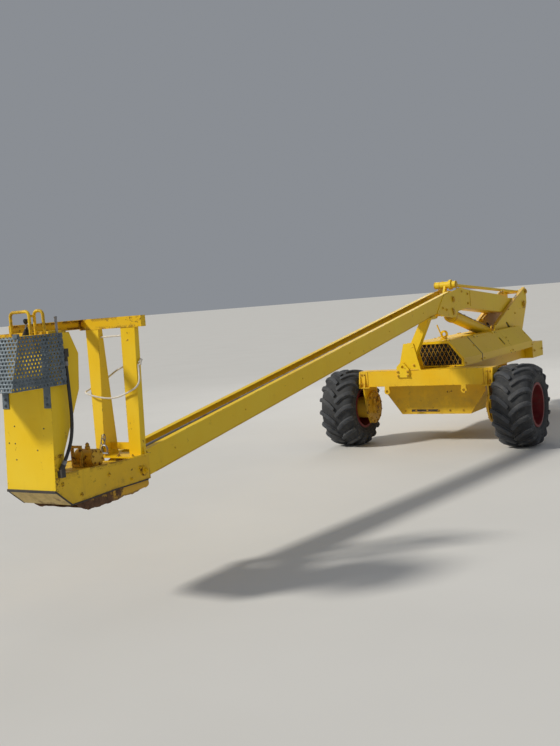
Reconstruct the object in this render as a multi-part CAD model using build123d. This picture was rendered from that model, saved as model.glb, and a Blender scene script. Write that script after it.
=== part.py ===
from build123d import *
import math
import os

# Self-propelled cherry picker: an orchard platform on two driven front wheels and a rear castor.
# Millimetres. While it is built, X runs forward from the front axle, Y to the machine's left
# and Z up from the ground. At the end all pieces move along X, so that the origin lies on
# the ground in the middle of the machine's outline.

# Drive wheels
TYRE_R = 393.5
TYRE_W = 380.0
TRACK = 1794.0
BAR_H = 27.0
BARS_A_SIDE = 17
BAR_FOOT_R = 318.0
# Outline of one tread bar, unrolled: distance from the tyre's middle, leading edge, trailing edge
BAR_EDGES = (
    (6.0, 104.0, 60.0),
    (60.0, 50.0, -2.0),
    (120.0, 10.0, -36.0),
    (200.0, -18.0, -62.0),
)
RIM_R = 197.0
RIM_W = 330.0
RIM_WALL = 8.0
RIM_FLANGE_H = 14.0
TYRE_SEAT = 0.3
DISC_FROM_CENTRE = 62.0
DISC_WALL = 12.0
HUB_R = 92.0
HUB_LENGTH = 42.0
AXLE_R = 30.0
RUNNING_FIT = 0.05
TURN_GAP = 5.0
BEAD_RISE = 20.0

# Wheel motors
MOTOR_R = 108.0
MOTOR_FLANGE_R = 165.0
MOTOR_FLANGE_WALL = 20.0
MOTOR_SET_IN = 275.0

# Front beam and its end brackets
BEAM_FRONT = 156.0
BEAM_DEPTH = 160.0
BEAM_TOP = 773.0
BEAM_HEIGHT = 157.0
BEAM_END_GAP = 9.0
BEAM_WALL = 10.0
BRACKET_WALL = 14.0
BRACKET_WIDTH = 250.0
GUSSET_REACH = 70.0
EYE_Y = (-402.0, 402.0)
EYE_DROP = 50.0
EYE_R = 30.0
EYE_BORE_R = 14.0
EYE_WALL = 18.0

# Main frame
RAIL_Y = 205.0
RAIL_W = 60.0
RAIL_TOP = 773.0
RAIL_H = 125.0
RAIL_REAR = -2440.0
RAIL_WALL = 6.0
CROSS_W = 100.0
CROSS_X = (-620.0, -1790.0)
CROSS_DROP = 20.0

# Belly pan
PAN_FRONT = -100.0
PAN_LENGTH = 1180.0
PAN_BOTTOM = 300.0
PAN_BREAK_Z = 525.0
PAN_BOTTOM_HALF = 365.0
PAN_TOP_HALF = 530.0
PAN_WALL = 6.0

# Hood
HOOD_FRONT = -80.0
HOOD_HALF = 340.0
HOOD_TOP_HALF = 190.0
HOOD_TOP = 1030.0
HOOD_BREAK_Z = 850.0
HOOD_WALL = 4.0
COWL_LENGTH = 545.0
DOOR_LENGTH = 985.0
TANK_LENGTH = 800.0
SEAM = 5.0
HOOD_SEAT = 0.3
GRILLE_FRAME = 26.0
GRILLE_BAR = 4.0
GRILLE_PITCH = 45.0
DOOR_KNUCKLE_R = 8.0
DOOR_KNUCKLE_LENGTH = 60.0
SPINE_KNUCKLE_LENGTH = 22.0
HINGE_END_GAP = 1.0
HINGE_PIN_R = 4.0
HINGE_INSET = 200.0
DOOR_EDGE = 16.0
BARREL_CLEARANCE = 14.0
BARREL_SLOT_FRONT = -1180.0

# Engine and rear weight
ENGINE_X = (-1480.0, -760.0)
ENGINE_HALF = 200.0
ENGINE_H = 160.0
WEIGHT_FRONT = -2446.0
WEIGHT_LENGTH = 430.0
WEIGHT_HALF = 330.0
WEIGHT_BOTTOM = 635.0
WEIGHT_TOP = 812.0

# Mast
MAST_HALF_GAP = 110.0
MAST_WALL = 14.0
PIVOT = (-2880.0, 1270.0)
PIVOT_PIN_R = 22.0
# Corners of the slot in the mast's plates, from its middle: forward, up
MAST_SLOT = ((-95.0, -55.0), (-95.0, -35.0), (50.0, 55.0), (95.0, 55.0), (95.0, 40.0), (-55.0, -55.0))
LEVEL_ARM = 180.0
LEVEL_ANGLE = 120.0
ANCHOR_PIN_R = 16.0
CYLINDER_PIN = (-2100.0, 937.0)
CYLINDER_PIN_R = 20.0

# Boom: a front channel, a knuckle and a rear arm
BOOM_W = 203.0
BOOM_WALL = 6.0
BOOM_LIP = 40.0
BOOM_SLOPE = 0.150
BOOM_TOP_AT_AXLE = 1449.0
BOOM_DEPTH = 152.0
BOOM_FRONT_START = -420.0
ARM_DEPTH = 196.0
ARM_END_R = 74.0
KNUCKLE = (-510.0, 1424.0)
KNUCKLE_PIN_R = 18.0
TORQUE_TUBE_R = 36.0
TORQUE_TUBE_HALF = 112.0
ROD_PIN = (-500.0, 1298.0)
ROD_PIN_R = 20.0
ROD_STUB_HALF = 36.0
PLATFORM_PIN = (4690.0, 668.0)
PLATFORM_PIN_R = 20.0
LIFT_RANGE = 60.0

# Lift cylinder and levelling rods
BARREL_R = 62.0
ROD_EXPOSED = 170.0
ROD_GUIDE = 400.0
ROD_R = 30.0
REAR_ROD_R = 16.0
FRONT_ROD_R = 10.0
ROD_EYE_R = 20.0
ROD_EYE_W = 26.0
ROD_EYE_PIN_R = 9.0
LINK_HALF = 10.0
LINK_GAP = 4.0
FRONT_ARM = 62.0

# Boom rest on the front beam
REST_Y = -140.0
REST_BASE_HALF = 100.0
REST_TOP_HALF = 52.0
REST_PLATE_TOP = 1035.0
REST_PLATE_WALL = 12.0
REST_POST_W = 95.0
REST_POST_DEPTH = 80.0
REST_TOP_Y = 45.0
REST_GAP = 0.3
LUG_W = 130.0
LUG_TOP = 850.0
LUG_BOTTOM = 705.0
LUG_WALL = 16.0
LUG_BORE_R = 13.0
LUG_BORE_DROP = 42.0
LUG_OUTBOARD = 70.0

# Rear castor
CASTOR_X = -2300.0
CASTOR_TRAIL = 110.0
CASTOR_R = 250.0
CASTOR_W = 190.0
CASTOR_RIM_R = 127.0
CASTOR_RIM_HALF = 79.0
CASTOR_RIM_WALL = 6.0
CASTOR_FORK_GAP = 112.0
CASTOR_FORK_WALL = 14.0
CASTOR_STEM_R = 32.0
CASTOR_BEARING_R = 52.0
CASTOR_PLATE_Z = 545.0
CASTOR_PLATE_WALL = 24.0
CASTOR_AXLE_R = 16.0

# Work platform
BASE_REAR = 4635.0
BASE_FRONT = 5382.0
BASE_HALF = 170.0
BASE_BOTTOM = 612.0
BASE_TOP = 755.0
BASE_WALL = 6.0
DECK_REAR = 4870.0
PAN_DROP = 62.0
SKID_FRONT = 250.0
NOSE_RISE = 78.0
NOSE_SET_BACK = 107.0
SHIELD_TOP = 1484.0
SHIELD_LEAN = 52.0
SHIELD_WALL = 4.0
POST_X = 4680.0
# Each post's foot x, foot y, foot depth, foot width, head y and head width
POSTS = (
    (4684.0, -90.0, 120.0, 60.0, -110.0, 94.0),
    (4680.0, 130.0, 46.0, 84.0, 152.0, 102.0),
)
POST_TOP = 1476.0
POST_TOP_D = 34.0
BRACE_Z = (785.0, 825.0)
FOOT_PLATE_X = (-64.0, 90.0)
POST_WALL = 4.0
FOOT_PLATE_SEAT = 6.0
RAIL_TUBE_H = 62.0
RAIL_TUBE_D = 40.0
BACK_RAIL_Y = (-200.0, 255.0)
SIDE_RAIL_END = 5235.0
GUARD_WALL = 3.0
GUARD_TOP = 1484.0
GUARD_BOTTOM = 1222.0
GUARD_REAR = 5262.0
GUARD_TOP_FRONT = 5560.0
GUARD_FLARE = 75.0
GUARD_HALF = 205.0
GUARD_STRAP_W = 45.0
GUARD_STRAP_DROP = 110.0
GUARD_STRAP_WALL = 5.0
# Each lever's x and y
LEVERS = ((5362.0, 60.0), (5440.0, -188.0), (5500.0, -188.0))
STALK_X = 5290.0
STALK_R = 7.0
STALK_H = 84.0
# Each hoop's x and the y of its two legs
HOOPS = ((5400.0, -4.0, 126.0), (5352.0, 112.0, 172.0))
HOOP_R = 8.0
HOOP_H = 118.0
HOOP_BEND = 24.0
HOOP_STRAP_W = 30.0
SHELF_WALL = 8.0
SHELF_RIM = 40.0
LATCH_X = -440.0
LATCH_RING_R = 40.0
LATCH_LEVER_H = 150.0
VALVE_X = 5020.0
VALVE_R = 46.0
VALVE_Y = (8.0, 136.0)
HITCH_WALL = 20.0
HITCH_BORE_R = 16.0
HITCH_REACH = 70.0
HOSE_R = 9.0
FERRULE_LENGTH = 28.0
FITTING_H = 34.0
FITTING_HALF = 14.0
HOSE_BEND = (200.0, 200.0, 150.0, 150.0)
HOSE_ROUTE = (
    (5244.0, 190.0, 1335.0),
    (5250.0, 200.0, 1200.0),
    (5250.0, 203.0, 1060.0),
    (5262.0, 200.0, 950.0),
    (5298.0, 195.0, 870.0),
    (5328.0, 188.0, 820.0),
)


def cross_section(points, y0, y1):
    """A plate cut to an outline of (x, z) points, from y0 to y1."""
    wire = Polyline([(x, y0, z) for x, z in points], close=True)
    return extrude(make_face(wire), amount=y1 - y0, dir=(0, 1, 0))


def frame_section(points, x0, x1):
    """A bar or plate cut to an outline of (y, z) points, from x0 to x1."""
    wire = Polyline([(x0, y, z) for y, z in points], close=True)
    return extrude(make_face(wire), amount=x1 - x0, dir=(1, 0, 0))


def block(x0, x1, y0, y1, z0, z1):
    """A box between opposite corners."""
    return Pos((x0 + x1) / 2, (y0 + y1) / 2, (z0 + z1) / 2) * Box(abs(x1 - x0), abs(y1 - y0), abs(z1 - z0))


def round_bar(start, end, radius):
    """A round bar between two points."""
    start, end = Vector(*start), Vector(*end)
    axis = end - start
    return Solid.make_cylinder(radius, axis.length, Plane(origin=start, z_dir=axis))


def cross_bar(centre, radius, y0, y1):
    """A round bar along Y at an (x, z) centre."""
    return round_bar((centre[0], y0, centre[1]), (centre[0], y1, centre[1]), radius)


def mirrored(shape):
    """The same piece on the machine's other side."""
    return mirror(shape, about=Plane.XZ)


def turned(profile, centre, y):
    """A profile of (distance along Y, radius) points turned about the wheel's axle at (x, z)."""
    wire = Polyline([(centre[0], y + a, centre[1] + r) for a, r in profile], close=True)
    return revolve(make_face(wire), axis=Axis((centre[0], y, centre[1]), (0, 1, 0)))


def along(start, end, distance):
    """The (x, z) point at a distance from start towards end."""
    length = math.dist(start, end)
    return tuple(a + (b - a) * distance / length for a, b in zip(start, end))


def offset(point, distance, angle):
    """The (x, z) point at a distance from a point, at an angle in degrees above +X."""
    return (
        point[0] + distance * math.cos(math.radians(angle)),
        point[1] + distance * math.sin(math.radians(angle)),
    )


# Places worked out from the driving sizes
WHEEL_Y = TRACK / 2
AXLE = (0.0, TYRE_R)
MOTOR_INNER_Y = WHEEL_Y - MOTOR_SET_IN
BEAM_HALF = WHEEL_Y - TYRE_W / 2 - BEAM_END_GAP
BARREL_LENGTH = math.dist(CYLINDER_PIN, ROD_PIN) - ROD_EXPOSED
BEAM_REAR = BEAM_FRONT - BEAM_DEPTH
BEAM_BOTTOM = BEAM_TOP - BEAM_HEIGHT
DISC_Y = WHEEL_Y - DISC_FROM_CENTRE
HUB_INNER_Y = DISC_Y - HUB_LENGTH
MOTOR_OUTER_Y = HUB_INNER_Y - TURN_GAP
RAIL_BOTTOM = RAIL_TOP - RAIL_H
MAST_FOOT_Z = RAIL_TOP - CROSS_DROP
COWL_REAR = HOOD_FRONT - COWL_LENGTH
DOOR_FRONT = COWL_REAR - SEAM
DOOR_REAR = DOOR_FRONT - DOOR_LENGTH
TANK_FRONT = DOOR_REAR - SEAM
TANK_REAR = TANK_FRONT - TANK_LENGTH
WEIGHT_REAR = WEIGHT_FRONT - WEIGHT_LENGTH
HINGE_X = (DOOR_FRONT - HINGE_INSET, DOOR_REAR + HINGE_INSET)
HINGE_Y = HOOD_TOP_HALF + 2.0
HINGE_Z = HOOD_TOP - 1.0
CHAMFER_FALL = (HOOD_TOP - HOOD_BREAK_Z) / (HOOD_HALF - HOOD_TOP_HALF)
MAST_ANCHOR = offset(PIVOT, LEVEL_ARM, LEVEL_ANGLE)
LEVER_TOP = offset(KNUCKLE, LEVEL_ARM, LEVEL_ANGLE)
LEVER_FRONT_PIN = offset(KNUCKLE, FRONT_ARM, LEVEL_ANGLE)
PLATFORM_FRONT_PIN = offset(PLATFORM_PIN, FRONT_ARM, LEVEL_ANGLE)
FRONT_PIN_REACH = LINK_HALF + LINK_GAP + ROD_EYE_W + 4.0
BOOM_HALF = BOOM_W / 2
BOOM_INNER = BOOM_HALF - BOOM_WALL
CASTOR_AXLE = (CASTOR_X - CASTOR_TRAIL, CASTOR_R)
DECK_Z = BASE_TOP - BASE_WALL
FOOT_PLATE_TOP = BASE_TOP + 2.0
LUG_Y = REST_Y - LUG_OUTBOARD
LUG_BORE_Z = LUG_TOP - LUG_BORE_DROP
HITCH_X = WEIGHT_REAR - HITCH_REACH / 2


def lifted(point, angle):
    """The (x, z) place of a point of the boom when the boom is lifted by an angle."""
    turn = math.radians(angle)
    dx, dz = point[0] - PIVOT[0], point[1] - PIVOT[1]
    return (
        PIVOT[0] + dx * math.cos(turn) - dz * math.sin(turn),
        PIVOT[1] + dx * math.sin(turn) + dz * math.cos(turn),
    )


ROD_STROKE = math.dist(CYLINDER_PIN, lifted(ROD_PIN, LIFT_RANGE)) - math.dist(CYLINDER_PIN, ROD_PIN)


def boom_top(x):
    """Height of the front boom's top flange at x."""
    return BOOM_TOP_AT_AXLE - BOOM_SLOPE * x


def shield_x(z):
    """Front face of the leaning leg shield at a height."""
    bottom = BASE_BOTTOM + NOSE_RISE
    return BASE_FRONT - SHIELD_LEAN * (z - bottom) / (SHIELD_TOP - bottom)


def leaning(z0, z1, back, ahead):
    """Outline of a strip along the shield's face, between two distances ahead of it."""
    return [
        (shield_x(z0) + back, z0),
        (shield_x(z0) + ahead, z0),
        (shield_x(z1) + ahead, z1),
        (shield_x(z1) + back, z1),
    ]


def both_sides(half_profile):
    """A closed profile from its half: (distance from the middle, radius) points, inner first."""
    return [(-a, r) for a, r in half_profile] + [(a, r) for a, r in reversed(half_profile)]


def tread_bar(envelope):
    """One tread bar on the tyre's outer half, cut to the envelope of the bars' tips."""
    lead = [(front, WHEEL_Y + across) for across, front, rear in BAR_EDGES]
    trail = [(rear, WHEEL_Y + across) for across, front, rear in BAR_EDGES]
    wire = Polyline([(x, y, AXLE[1] + BAR_FOOT_R) for x, y in lead + trail[::-1]], close=True)
    return extrude(make_face(wire), amount=TYRE_R - BAR_FOOT_R + 1, dir=(0, 0, 1)) & envelope


def tyre():
    """Left drive tyre: a carcass with slanting tread bars that point forward at the top."""
    half = TYRE_W / 2
    bead = RIM_R + TYRE_SEAT
    bead_half = RIM_W / 2 - RIM_WALL - TYRE_SEAT
    carcass_r = TYRE_R - BAR_H
    side = [
        (bead_half, bead),
        (bead_half, bead + BEAD_RISE),
        (half - 26, bead + 40),
        (half - 8, bead + 92),
        (half - 22, TYRE_R - 62),
        (half - 56, TYRE_R - 36),
        (half - 110, carcass_r),
    ]
    tips = [
        (half - 12, BAR_FOOT_R - 5),
        (half, BAR_FOOT_R),
        (half - 8, TYRE_R - 42),
        (half - 38, TYRE_R - 12),
        (half - 90, TYRE_R),
    ]
    bar = tread_bar(turned(both_sides(tips), AXLE, WHEEL_Y))
    other = mirror(bar, about=Plane.XZ.offset(-WHEEL_Y))
    place = Pos(AXLE[0], 0, AXLE[1])
    pitch = 360 / BARS_A_SIDE
    bars = []
    for i in range(BARS_A_SIDE):
        bars.append(place * Rot(0, i * pitch, 0) * place.inverse() * bar)
        bars.append(place * Rot(0, (i + 0.5) * pitch, 0) * place.inverse() * other)
    return turned(both_sides(side), AXLE, WHEEL_Y) + bars


def rim():
    """Left rim with its dished disc, hub and drive shaft."""
    half = RIM_W / 2
    barrel = turned(
        [
            (-half, RIM_R - RIM_WALL),
            (-half, RIM_R + RIM_FLANGE_H),
            (-half + RIM_WALL, RIM_R + RIM_FLANGE_H),
            (-half + RIM_WALL, RIM_R),
            (half - RIM_WALL, RIM_R),
            (half - RIM_WALL, RIM_R + RIM_FLANGE_H),
            (half, RIM_R + RIM_FLANGE_H),
            (half, RIM_R - RIM_WALL),
        ],
        AXLE,
        WHEEL_Y,
    )
    disc = turned(
        [
            (0, 0),
            (0, HUB_R + 22),
            (30, RIM_R - RIM_WALL - 20),
            (30, RIM_R - RIM_WALL + 1),
            (30 + DISC_WALL, RIM_R - RIM_WALL + 1),
            (30 + DISC_WALL, RIM_R - RIM_WALL - 20),
            (DISC_WALL, HUB_R + 22),
            (DISC_WALL, 0),
        ],
        AXLE,
        DISC_Y,
    )
    hub = cross_bar(AXLE, HUB_R, HUB_INNER_Y, DISC_Y + 1)
    shaft = cross_bar(AXLE, AXLE_R, MOTOR_INNER_Y + 40, HUB_INNER_Y + 1)
    return barrel + disc + hub + shaft


def wheel_motor():
    """Left wheel motor: a bolted inner flange and a casing, bored for the drive shaft."""
    flange = cross_bar(AXLE, MOTOR_FLANGE_R, MOTOR_INNER_Y, MOTOR_INNER_Y + MOTOR_FLANGE_WALL)
    casing = cross_bar(AXLE, MOTOR_R, MOTOR_INNER_Y, MOTOR_OUTER_Y)
    cap = cross_bar(AXLE, MOTOR_R * 0.62, MOTOR_INNER_Y - 40, MOTOR_INNER_Y)
    bore = cross_bar(AXLE, AXLE_R + RUNNING_FIT, MOTOR_INNER_Y + 39, MOTOR_OUTER_Y + 1)
    return flange + casing + cap - bore


def end_bracket():
    """Left bracket from the beam's end down to the wheel motor."""
    inner = MOTOR_INNER_Y + MOTOR_FLANGE_WALL
    half = BRACKET_WIDTH / 2
    hanger = cross_section(
        [
            (-half, BEAM_BOTTOM),
            (-half, AXLE[1] - 60),
            (-half * 0.6, AXLE[1] - MOTOR_FLANGE_R + 10),
            (half * 0.6, AXLE[1] - MOTOR_FLANGE_R + 10),
            (half, AXLE[1] - 60),
            (BEAM_FRONT + GUSSET_REACH * 0.4, BEAM_BOTTOM),
        ],
        inner,
        inner + BRACKET_WALL,
    )
    hole = cross_bar(AXLE, MOTOR_R, inner - 1, inner + BRACKET_WALL + 1)
    foot = block(-half, BEAM_FRONT + GUSSET_REACH * 0.4, inner - 60, BEAM_HALF, BEAM_BOTTOM - 12, BEAM_BOTTOM)
    outline = [
        (BEAM_FRONT - 1, BEAM_TOP),
        (BEAM_FRONT + GUSSET_REACH * 0.4, BEAM_BOTTOM - 1),
        (BEAM_FRONT - 1, BEAM_BOTTOM - 1),
    ]
    ribs = [cross_section(outline, y, y + BRACKET_WALL) for y in (inner - 10, BEAM_HALF - BRACKET_WALL)]
    return (hanger - hole) + foot + ribs[0] + ribs[1]


def front_beam():
    """Box beam across the front axle with an end bracket on each side."""
    tube = block(BEAM_REAR, BEAM_FRONT, -BEAM_HALF, BEAM_HALF, BEAM_BOTTOM, BEAM_TOP)
    hollow = block(
        BEAM_REAR + BEAM_WALL,
        BEAM_FRONT - BEAM_WALL,
        -BEAM_HALF + BEAM_WALL,
        BEAM_HALF - BEAM_WALL,
        BEAM_BOTTOM + BEAM_WALL,
        BEAM_TOP - BEAM_WALL,
    )
    bracket = end_bracket()
    beam = (tube - hollow) + bracket + mirrored(bracket)
    for y in EYE_Y:
        x0, x1, z = BEAM_FRONT - EYE_WALL, BEAM_FRONT, BEAM_BOTTOM - EYE_DROP
        neck = block(x0, x1, y - EYE_R * 0.8, y + EYE_R * 0.8, z, BEAM_BOTTOM + 1)
        ring = round_bar((x0, y, z), (x1, y, z), EYE_R)
        hole = round_bar((x0 - 1, y, z), (x1 + 1, y, z), EYE_BORE_R)
        beam = beam + ((neck + ring) - hole)
    return beam


def main_frame():
    """Two box rails with cross members, and the plate that carries the castor bearing."""
    frame = None
    for side in (-1, 1):
        y = side * RAIL_Y
        rail = block(RAIL_REAR, BEAM_REAR, y - RAIL_W / 2, y + RAIL_W / 2, RAIL_BOTTOM, RAIL_TOP)
        bore = block(
            RAIL_REAR + RAIL_WALL,
            BEAM_REAR - RAIL_WALL,
            y - RAIL_W / 2 + RAIL_WALL,
            y + RAIL_W / 2 - RAIL_WALL,
            RAIL_BOTTOM + RAIL_WALL,
            RAIL_TOP - RAIL_WALL,
        )
        rail = rail - bore
        frame = rail if frame is None else frame + rail
    inner = RAIL_Y - RAIL_W / 2
    for x in CROSS_X:
        frame = frame + block(x - CROSS_W / 2, x + CROSS_W / 2, -inner, inner, RAIL_BOTTOM + CROSS_DROP, MAST_FOOT_Z)
    half = CASTOR_BEARING_R + 60
    frame = frame + block(CASTOR_X - half, CASTOR_X + half, -inner, inner, RAIL_BOTTOM, MAST_FOOT_Z)
    top, bottom = RAIL_TOP + CROSS_DROP, CASTOR_PLATE_Z + CASTOR_PLATE_WALL + TURN_GAP
    frame = frame + round_bar((CASTOR_X, 0, bottom), (CASTOR_X, 0, top), CASTOR_BEARING_R)
    return frame - round_bar((CASTOR_X, 0, bottom - 1), (CASTOR_X, 0, top + 1), CASTOR_STEM_R + RUNNING_FIT)


def belly_pan():
    """Folded pan under the frame, open at the top, with chamfered lower sides."""
    outer = [
        (-PAN_TOP_HALF, RAIL_BOTTOM),
        (-PAN_TOP_HALF, PAN_BREAK_Z),
        (-PAN_BOTTOM_HALF, PAN_BOTTOM),
        (PAN_BOTTOM_HALF, PAN_BOTTOM),
        (PAN_TOP_HALF, PAN_BREAK_Z),
        (PAN_TOP_HALF, RAIL_BOTTOM),
    ]
    w = PAN_WALL
    inner = [
        (-PAN_TOP_HALF + w, RAIL_BOTTOM + 1),
        (-PAN_TOP_HALF + w, PAN_BREAK_Z + w / 2),
        (-PAN_BOTTOM_HALF + w / 2, PAN_BOTTOM + w),
        (PAN_BOTTOM_HALF - w / 2, PAN_BOTTOM + w),
        (PAN_TOP_HALF - w, PAN_BREAK_Z + w / 2),
        (PAN_TOP_HALF - w, RAIL_BOTTOM + 1),
    ]
    rear = PAN_FRONT - PAN_LENGTH
    pan = frame_section(outer, rear, PAN_FRONT) - frame_section(inner, rear + w, PAN_FRONT - w)
    slot = block(PAN_FRONT - 2 * w, PAN_FRONT + 1, -260, 20, PAN_BOTTOM + 22, PAN_BOTTOM + 48)
    return pan - slot


HOOD_OUTLINE = [
    (-HOOD_HALF, RAIL_TOP + HOOD_SEAT),
    (-HOOD_HALF, HOOD_BREAK_Z),
    (-HOOD_TOP_HALF, HOOD_TOP),
    (HOOD_TOP_HALF, HOOD_TOP),
    (HOOD_HALF, HOOD_BREAK_Z),
    (HOOD_HALF, RAIL_TOP + HOOD_SEAT),
]


def hood_inside(wall, floor):
    """The hood's outline moved in by its wall, down to a floor height."""
    lean = math.atan2(HOOD_TOP - HOOD_BREAK_Z, HOOD_HALF - HOOD_TOP_HALF)
    top_half = HOOD_TOP_HALF - wall * math.tan((math.pi / 2 - lean) / 2) * 0.6
    return [
        (-HOOD_HALF + wall, floor),
        (-HOOD_HALF + wall, HOOD_BREAK_Z - wall * 0.4),
        (-top_half, HOOD_TOP - wall),
        (top_half, HOOD_TOP - wall),
        (HOOD_HALF - wall, HOOD_BREAK_Z - wall * 0.4),
        (HOOD_HALF - wall, floor),
    ]


def hood_cowl():
    """Fixed front cowl: a shell with the grille opening in its front wall."""
    shell = frame_section(HOOD_OUTLINE, COWL_REAR, HOOD_FRONT)
    inside = hood_inside(HOOD_WALL, RAIL_TOP - 1)
    shell = shell - frame_section(inside, COWL_REAR - 1, HOOD_FRONT - HOOD_WALL)
    opening = hood_inside(GRILLE_FRAME, RAIL_TOP + GRILLE_FRAME * 0.6)
    shell = shell - frame_section(opening, HOOD_FRONT - 2 * HOOD_WALL, HOOD_FRONT + 1)
    return shell + hood_latch()


def hood_grille():
    """Diamond mesh behind the cowl's opening: crossing bars clipped to the opening's shape."""
    back = HOOD_FRONT - HOOD_WALL - GRILLE_BAR
    area = frame_section(
        hood_inside(GRILLE_FRAME - 10, RAIL_TOP + GRILLE_FRAME * 0.6 - 8), back, HOOD_FRONT - HOOD_WALL
    )
    centre_z = (HOOD_TOP + RAIL_TOP) / 2
    bars = None
    reach = int(HOOD_HALF / GRILLE_PITCH) + 3
    for lean in (-62, 62):
        for i in range(-reach, reach + 1):
            bar = Pos(back + GRILLE_BAR / 2, i * GRILLE_PITCH, centre_z) * Rot(lean, 0, 0) * Box(
                GRILLE_BAR, 4 * HOOD_HALF, GRILLE_BAR
            )
            bars = bar if bars is None else bars + bar
    return area & bars


def hood_spine():
    """Top strip between the two engine doors, on a post at each end."""
    top = block(DOOR_REAR, DOOR_FRONT, -HOOD_TOP_HALF, HOOD_TOP_HALF, HOOD_TOP - HOOD_WALL, HOOD_TOP)
    slot_half = BARREL_R + BARREL_CLEARANCE
    top = top - block(DOOR_REAR - 1, BARREL_SLOT_FRONT, -slot_half, slot_half, HOOD_TOP - 2 * HOOD_WALL, HOOD_TOP + 1)
    inner = RAIL_Y
    for x in (DOOR_FRONT, DOOR_REAR + 30):
        for side in (-1, 1):
            y = side * (HOOD_TOP_HALF - 40)
            top = top + block(x - 30, x, y - 15, y + 15, RAIL_TOP, HOOD_TOP - 1)
        top = top + block(x - 30, x, -inner, inner, RAIL_TOP, RAIL_TOP + 12)
    for x in HINGE_X:
        for side in (-1, 1):
            y = side * HINGE_Y
            gap = DOOR_KNUCKLE_LENGTH / 2 + HINGE_END_GAP
            top = top - block(x - gap, x + gap, y - 12, y + 12, HOOD_TOP - 20, HOOD_TOP + 20)
            for end in (-1, 1):
                x0, x1 = x + end * gap, x + end * (gap + SPINE_KNUCKLE_LENGTH)
                top = top + round_bar((x0, y, HINGE_Z), (x1, y, HINGE_Z), DOOR_KNUCKLE_R)
            top = top + round_bar((x - gap - 1, y, HINGE_Z), (x + gap + 1, y, HINGE_Z), HINGE_PIN_R)
    return top


def engine_door():
    """Left engine door: the chamfer and side of the hood, hinged along its top edge."""
    wall = HOOD_WALL
    edge_y, edge_z = HOOD_TOP_HALF + DOOR_EDGE, HOOD_TOP - DOOR_EDGE * CHAMFER_FALL
    outline = [
        (edge_y, edge_z),
        (HOOD_HALF, HOOD_BREAK_Z),
        (HOOD_HALF, RAIL_TOP + SEAM),
        (HOOD_HALF - wall, RAIL_TOP + SEAM),
        (HOOD_HALF - wall, HOOD_BREAK_Z - wall * 0.4),
        (edge_y - wall, edge_z - 2),
    ]
    door = frame_section(outline, DOOR_REAR, DOOR_FRONT)
    leaf = [
        (HINGE_Y, HINGE_Z),
        (HINGE_Y + 6, HINGE_Z + 1),
        (edge_y + 8, edge_z - 8),
        (edge_y - 2, edge_z - 6),
    ]
    half = DOOR_KNUCKLE_LENGTH / 2
    for x in HINGE_X:
        door = door + frame_section(leaf, x - half, x + half)
        door = door + round_bar((x - half, HINGE_Y, HINGE_Z), (x + half, HINGE_Y, HINGE_Z), DOOR_KNUCKLE_R)
        bore_r = HINGE_PIN_R + RUNNING_FIT
        door = door - round_bar((x - half - 1, HINGE_Y, HINGE_Z), (x + half + 1, HINGE_Y, HINGE_Z), bore_r)
    return door


def rear_tank():
    """Left rear housing beside the mast, of the hood's outline, its rear end sloping."""
    inner = MAST_HALF_GAP + MAST_WALL + 16
    outline = [
        (inner, RAIL_TOP + HOOD_SEAT),
        (inner, HOOD_TOP),
        (HOOD_TOP_HALF, HOOD_TOP),
        (HOOD_HALF, HOOD_BREAK_Z),
        (HOOD_HALF, RAIL_TOP + HOOD_SEAT),
    ]
    body = frame_section(outline, TANK_REAR, TANK_FRONT)
    w = HOOD_WALL
    inside = [
        (inner + w, RAIL_TOP + w),
        (inner + w, HOOD_TOP - w),
        (HOOD_TOP_HALF - w * 0.4, HOOD_TOP - w),
        (HOOD_HALF - w, HOOD_BREAK_Z - w * 0.4),
        (HOOD_HALF - w, RAIL_TOP + w),
    ]
    return body - frame_section(inside, TANK_REAR + w, TANK_FRONT - w)


def engine():
    """The engine as one plain block on the frame rails."""
    return block(ENGINE_X[0], ENGINE_X[1], -ENGINE_HALF, ENGINE_HALF, RAIL_TOP, RAIL_TOP + ENGINE_H)


def counterweight():
    """Rear weight box bolted to the ends of the rails."""
    return block(WEIGHT_REAR, WEIGHT_FRONT, -WEIGHT_HALF, WEIGHT_HALF, WEIGHT_BOTTOM, WEIGHT_TOP)


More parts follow.
